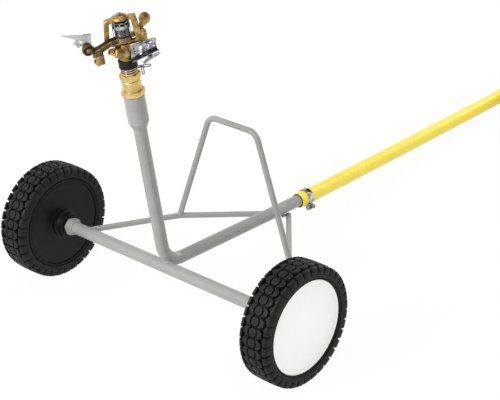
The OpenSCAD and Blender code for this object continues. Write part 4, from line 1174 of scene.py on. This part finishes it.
def clamp_screw():
    """The worm with its thread, and its slotted hexagonal head."""
    shank = drum(SCREW_R, 17, (0.5, 0, 0), 32, "X")
    turns, per, thread_r, thread_long, thread_from = 7, 20, 3, 12, -7
    thread = []
    for i in range(turns * per + 1):
        angle = 2 * math.pi * i / per
        x = thread_from + thread_long * i / (turns * per)
        thread.append((x, thread_r * math.cos(angle), thread_r * math.sin(angle)))
    head = hexagon(8, 4.5, 0)
    head.matrix_world = place(8.2, 0, 0, 0, 90)
    slot = block((2, 1.1, 10), (12.5, 0, 0), 0)
    return join([shank, wire(thread, 0.5, sides=2), cut(head, slot)])


dress(clamp_band(), CLAMP, "clamp_band", ZINC, "cart")
dress(clamp_housing(), WORM, "clamp_housing", ZINC, "cart")
dress(clamp_screw(), WORM, "clamp_screw", ZINC, "clamp_screw")

# Painted shade: a dark ring inside the band, seen through its slots
inside = turned([(14, -4.9), (14.4, -4.9), (14.4, 4.9), (14, 4.9)], 96)
with_piece(inside, CLAMP, "band_painted_shade", SEAL_AND_SHADE, "cart")

# The hose's dark inner layer, which shows at its cut end
lining = turned([(10.75, 0.4), (12.3, 0.4), (12.3, -0.25), (12, -0.35), (10.9, -0.35), (10.75, -0.2)], 72)
with_piece(lining, CART @ place(0, CUFF_START, PIPE_UP, -90), "hose_lining", SEAL_AND_SHADE, "cart")


# Finishes of the frame's own nodes that no piece replaces
NODE_FINISH = {
    GREY: ["axle_tube", "main_pipe", "riser_socket", "brace_left", "brace_right", "carry_arch"],
    WHITE: ["bush_left", "bush_right"],
    CAST: ["spindle"],
    BRASS: ["rear_plug", "hose_ferrule", "hose_tail", "swivel_nut"],
    ZINC: ["bolt_left", "bolt_right"],
    SEAL_AND_SHADE: ["tail_washer"],
    NYLON: ["coil_ties"],
}
for finish, names in NODE_FINISH.items():
    for name in names:
        nodes[name].data.materials.clear()
        nodes[name].data.materials.append(finish)


# Floor and studio: plain white to the lens, to gloss and to glass; the floor keeps a faint shadow
FLOOR_SIZE = 12
FLOOR_GLOW = 0.95
LAMP_POWER = 95
WORLD_LEVEL = 0.88
SIDE_SHARE = 0.5
PLAIN_WHITE = (1, 1, 1, 1)
CART_MIDDLE = (0, 0, 0.3)


def background_share(mat_or_world):
    """Light Path's share of rays for which the studio is plain white."""
    path = node(mat_or_world, "LightPath")
    shares = [path.outputs[name] for name in ("Is Camera Ray", "Is Glossy Ray", "Is Transmission Ray")]
    first = node(mat_or_world, "Math", {0: shares[0], 1: shares[1]}, operation="MAXIMUM").outputs[0]
    return node(mat_or_world, "Math", {0: first, 1: shares[2]}, operation="MAXIMUM").outputs[0]


select_only(camera)
bpy.ops.mesh.primitive_plane_add(size=FLOOR_SIZE, location=(0, 0.3, 0))
floor = bpy.context.object
floor.name = "floor"
studio, paper = new_material("studio_paper", Base_Color=linear("#E6E6E4"), Roughness=0.9)
glow = node(studio, "Emission", {"Color": PLAIN_WHITE, "Strength": 1.0})
share = node(studio, "Math", {0: background_share(studio), 1: FLOOR_GLOW}, operation="MULTIPLY").outputs[0]
node(studio, "MixShader", {0: share, 1: paper.outputs[0], 2: glow.outputs[0]},
     studio.node_tree.nodes["Material Output"].inputs["Surface"])
floor.data.materials.append(studio)

world = bpy.context.scene.world or bpy.data.worlds.new("studio")
bpy.context.scene.world = world
world.use_nodes = True
for old in list(world.node_tree.nodes):
    world.node_tree.nodes.remove(old)
level = node(world, "MapRange", {"Value": background_share(world), "To Min": WORLD_LEVEL, "To Max": 1.0})
sky = node(world, "Background", {"Color": PLAIN_WHITE, "Strength": level.outputs["Result"]})
node(world, "OutputWorld", {"Surface": sky.outputs[0]})


def softbox(name, place_m, target, size, power):
    """A square studio lamp that looks at a point."""
    data = bpy.data.lights.new(name, "AREA")
    data.size = size
    data.energy = power
    lamp = bpy.data.objects.new(name, data)
    bpy.context.scene.collection.objects.link(lamp)
    lamp.location = place_m
    lamp.rotation_mode = "QUATERNION"
    lamp.rotation_quaternion = (Vector(target) - Vector(place_m)).to_track_quat("-Z", "Y")


FLAG_CLOTH, _ = new_material("black_flag_cloth", Base_Color=linear("#101010"), Roughness=1)


def flag(name, place_m, target, size):
    """A black card that only gloss sees: it darkens what the tubes and the bright metal mirror."""
    bpy.ops.mesh.primitive_plane_add(size=1, location=place_m)
    card = bpy.context.object
    card.name = name
    card.scale = (*size, 1)
    card.rotation_mode = "QUATERNION"
    card.rotation_quaternion = (Vector(target) - Vector(place_m)).to_track_quat("-Z", "Y")
    for rays in ("camera", "diffuse", "transmission", "volume_scatter", "shadow"):
        setattr(card, f"visible_{rays}", False)
    card.data.materials.append(FLAG_CLOTH)


flag("flag_front", (2.6, 0.1, 1.2), CART_MIDDLE, (2.4, 2.4))
flag("flag_above", (-0.6, 2.2, 2.4), CART_MIDDLE, (3.2, 1.6))
softbox("key_light", (-0.5, -2.9, 2.3), (0, 0, 0.25), 1.5, LAMP_POWER)
softbox("side_light", (0.1, 4.4, 1.6), CART_MIDDLE, 1.6, LAMP_POWER * SIDE_SHARE)

bpy.context.scene.view_settings.view_transform = "Standard"
bpy.context.view_layer.update()
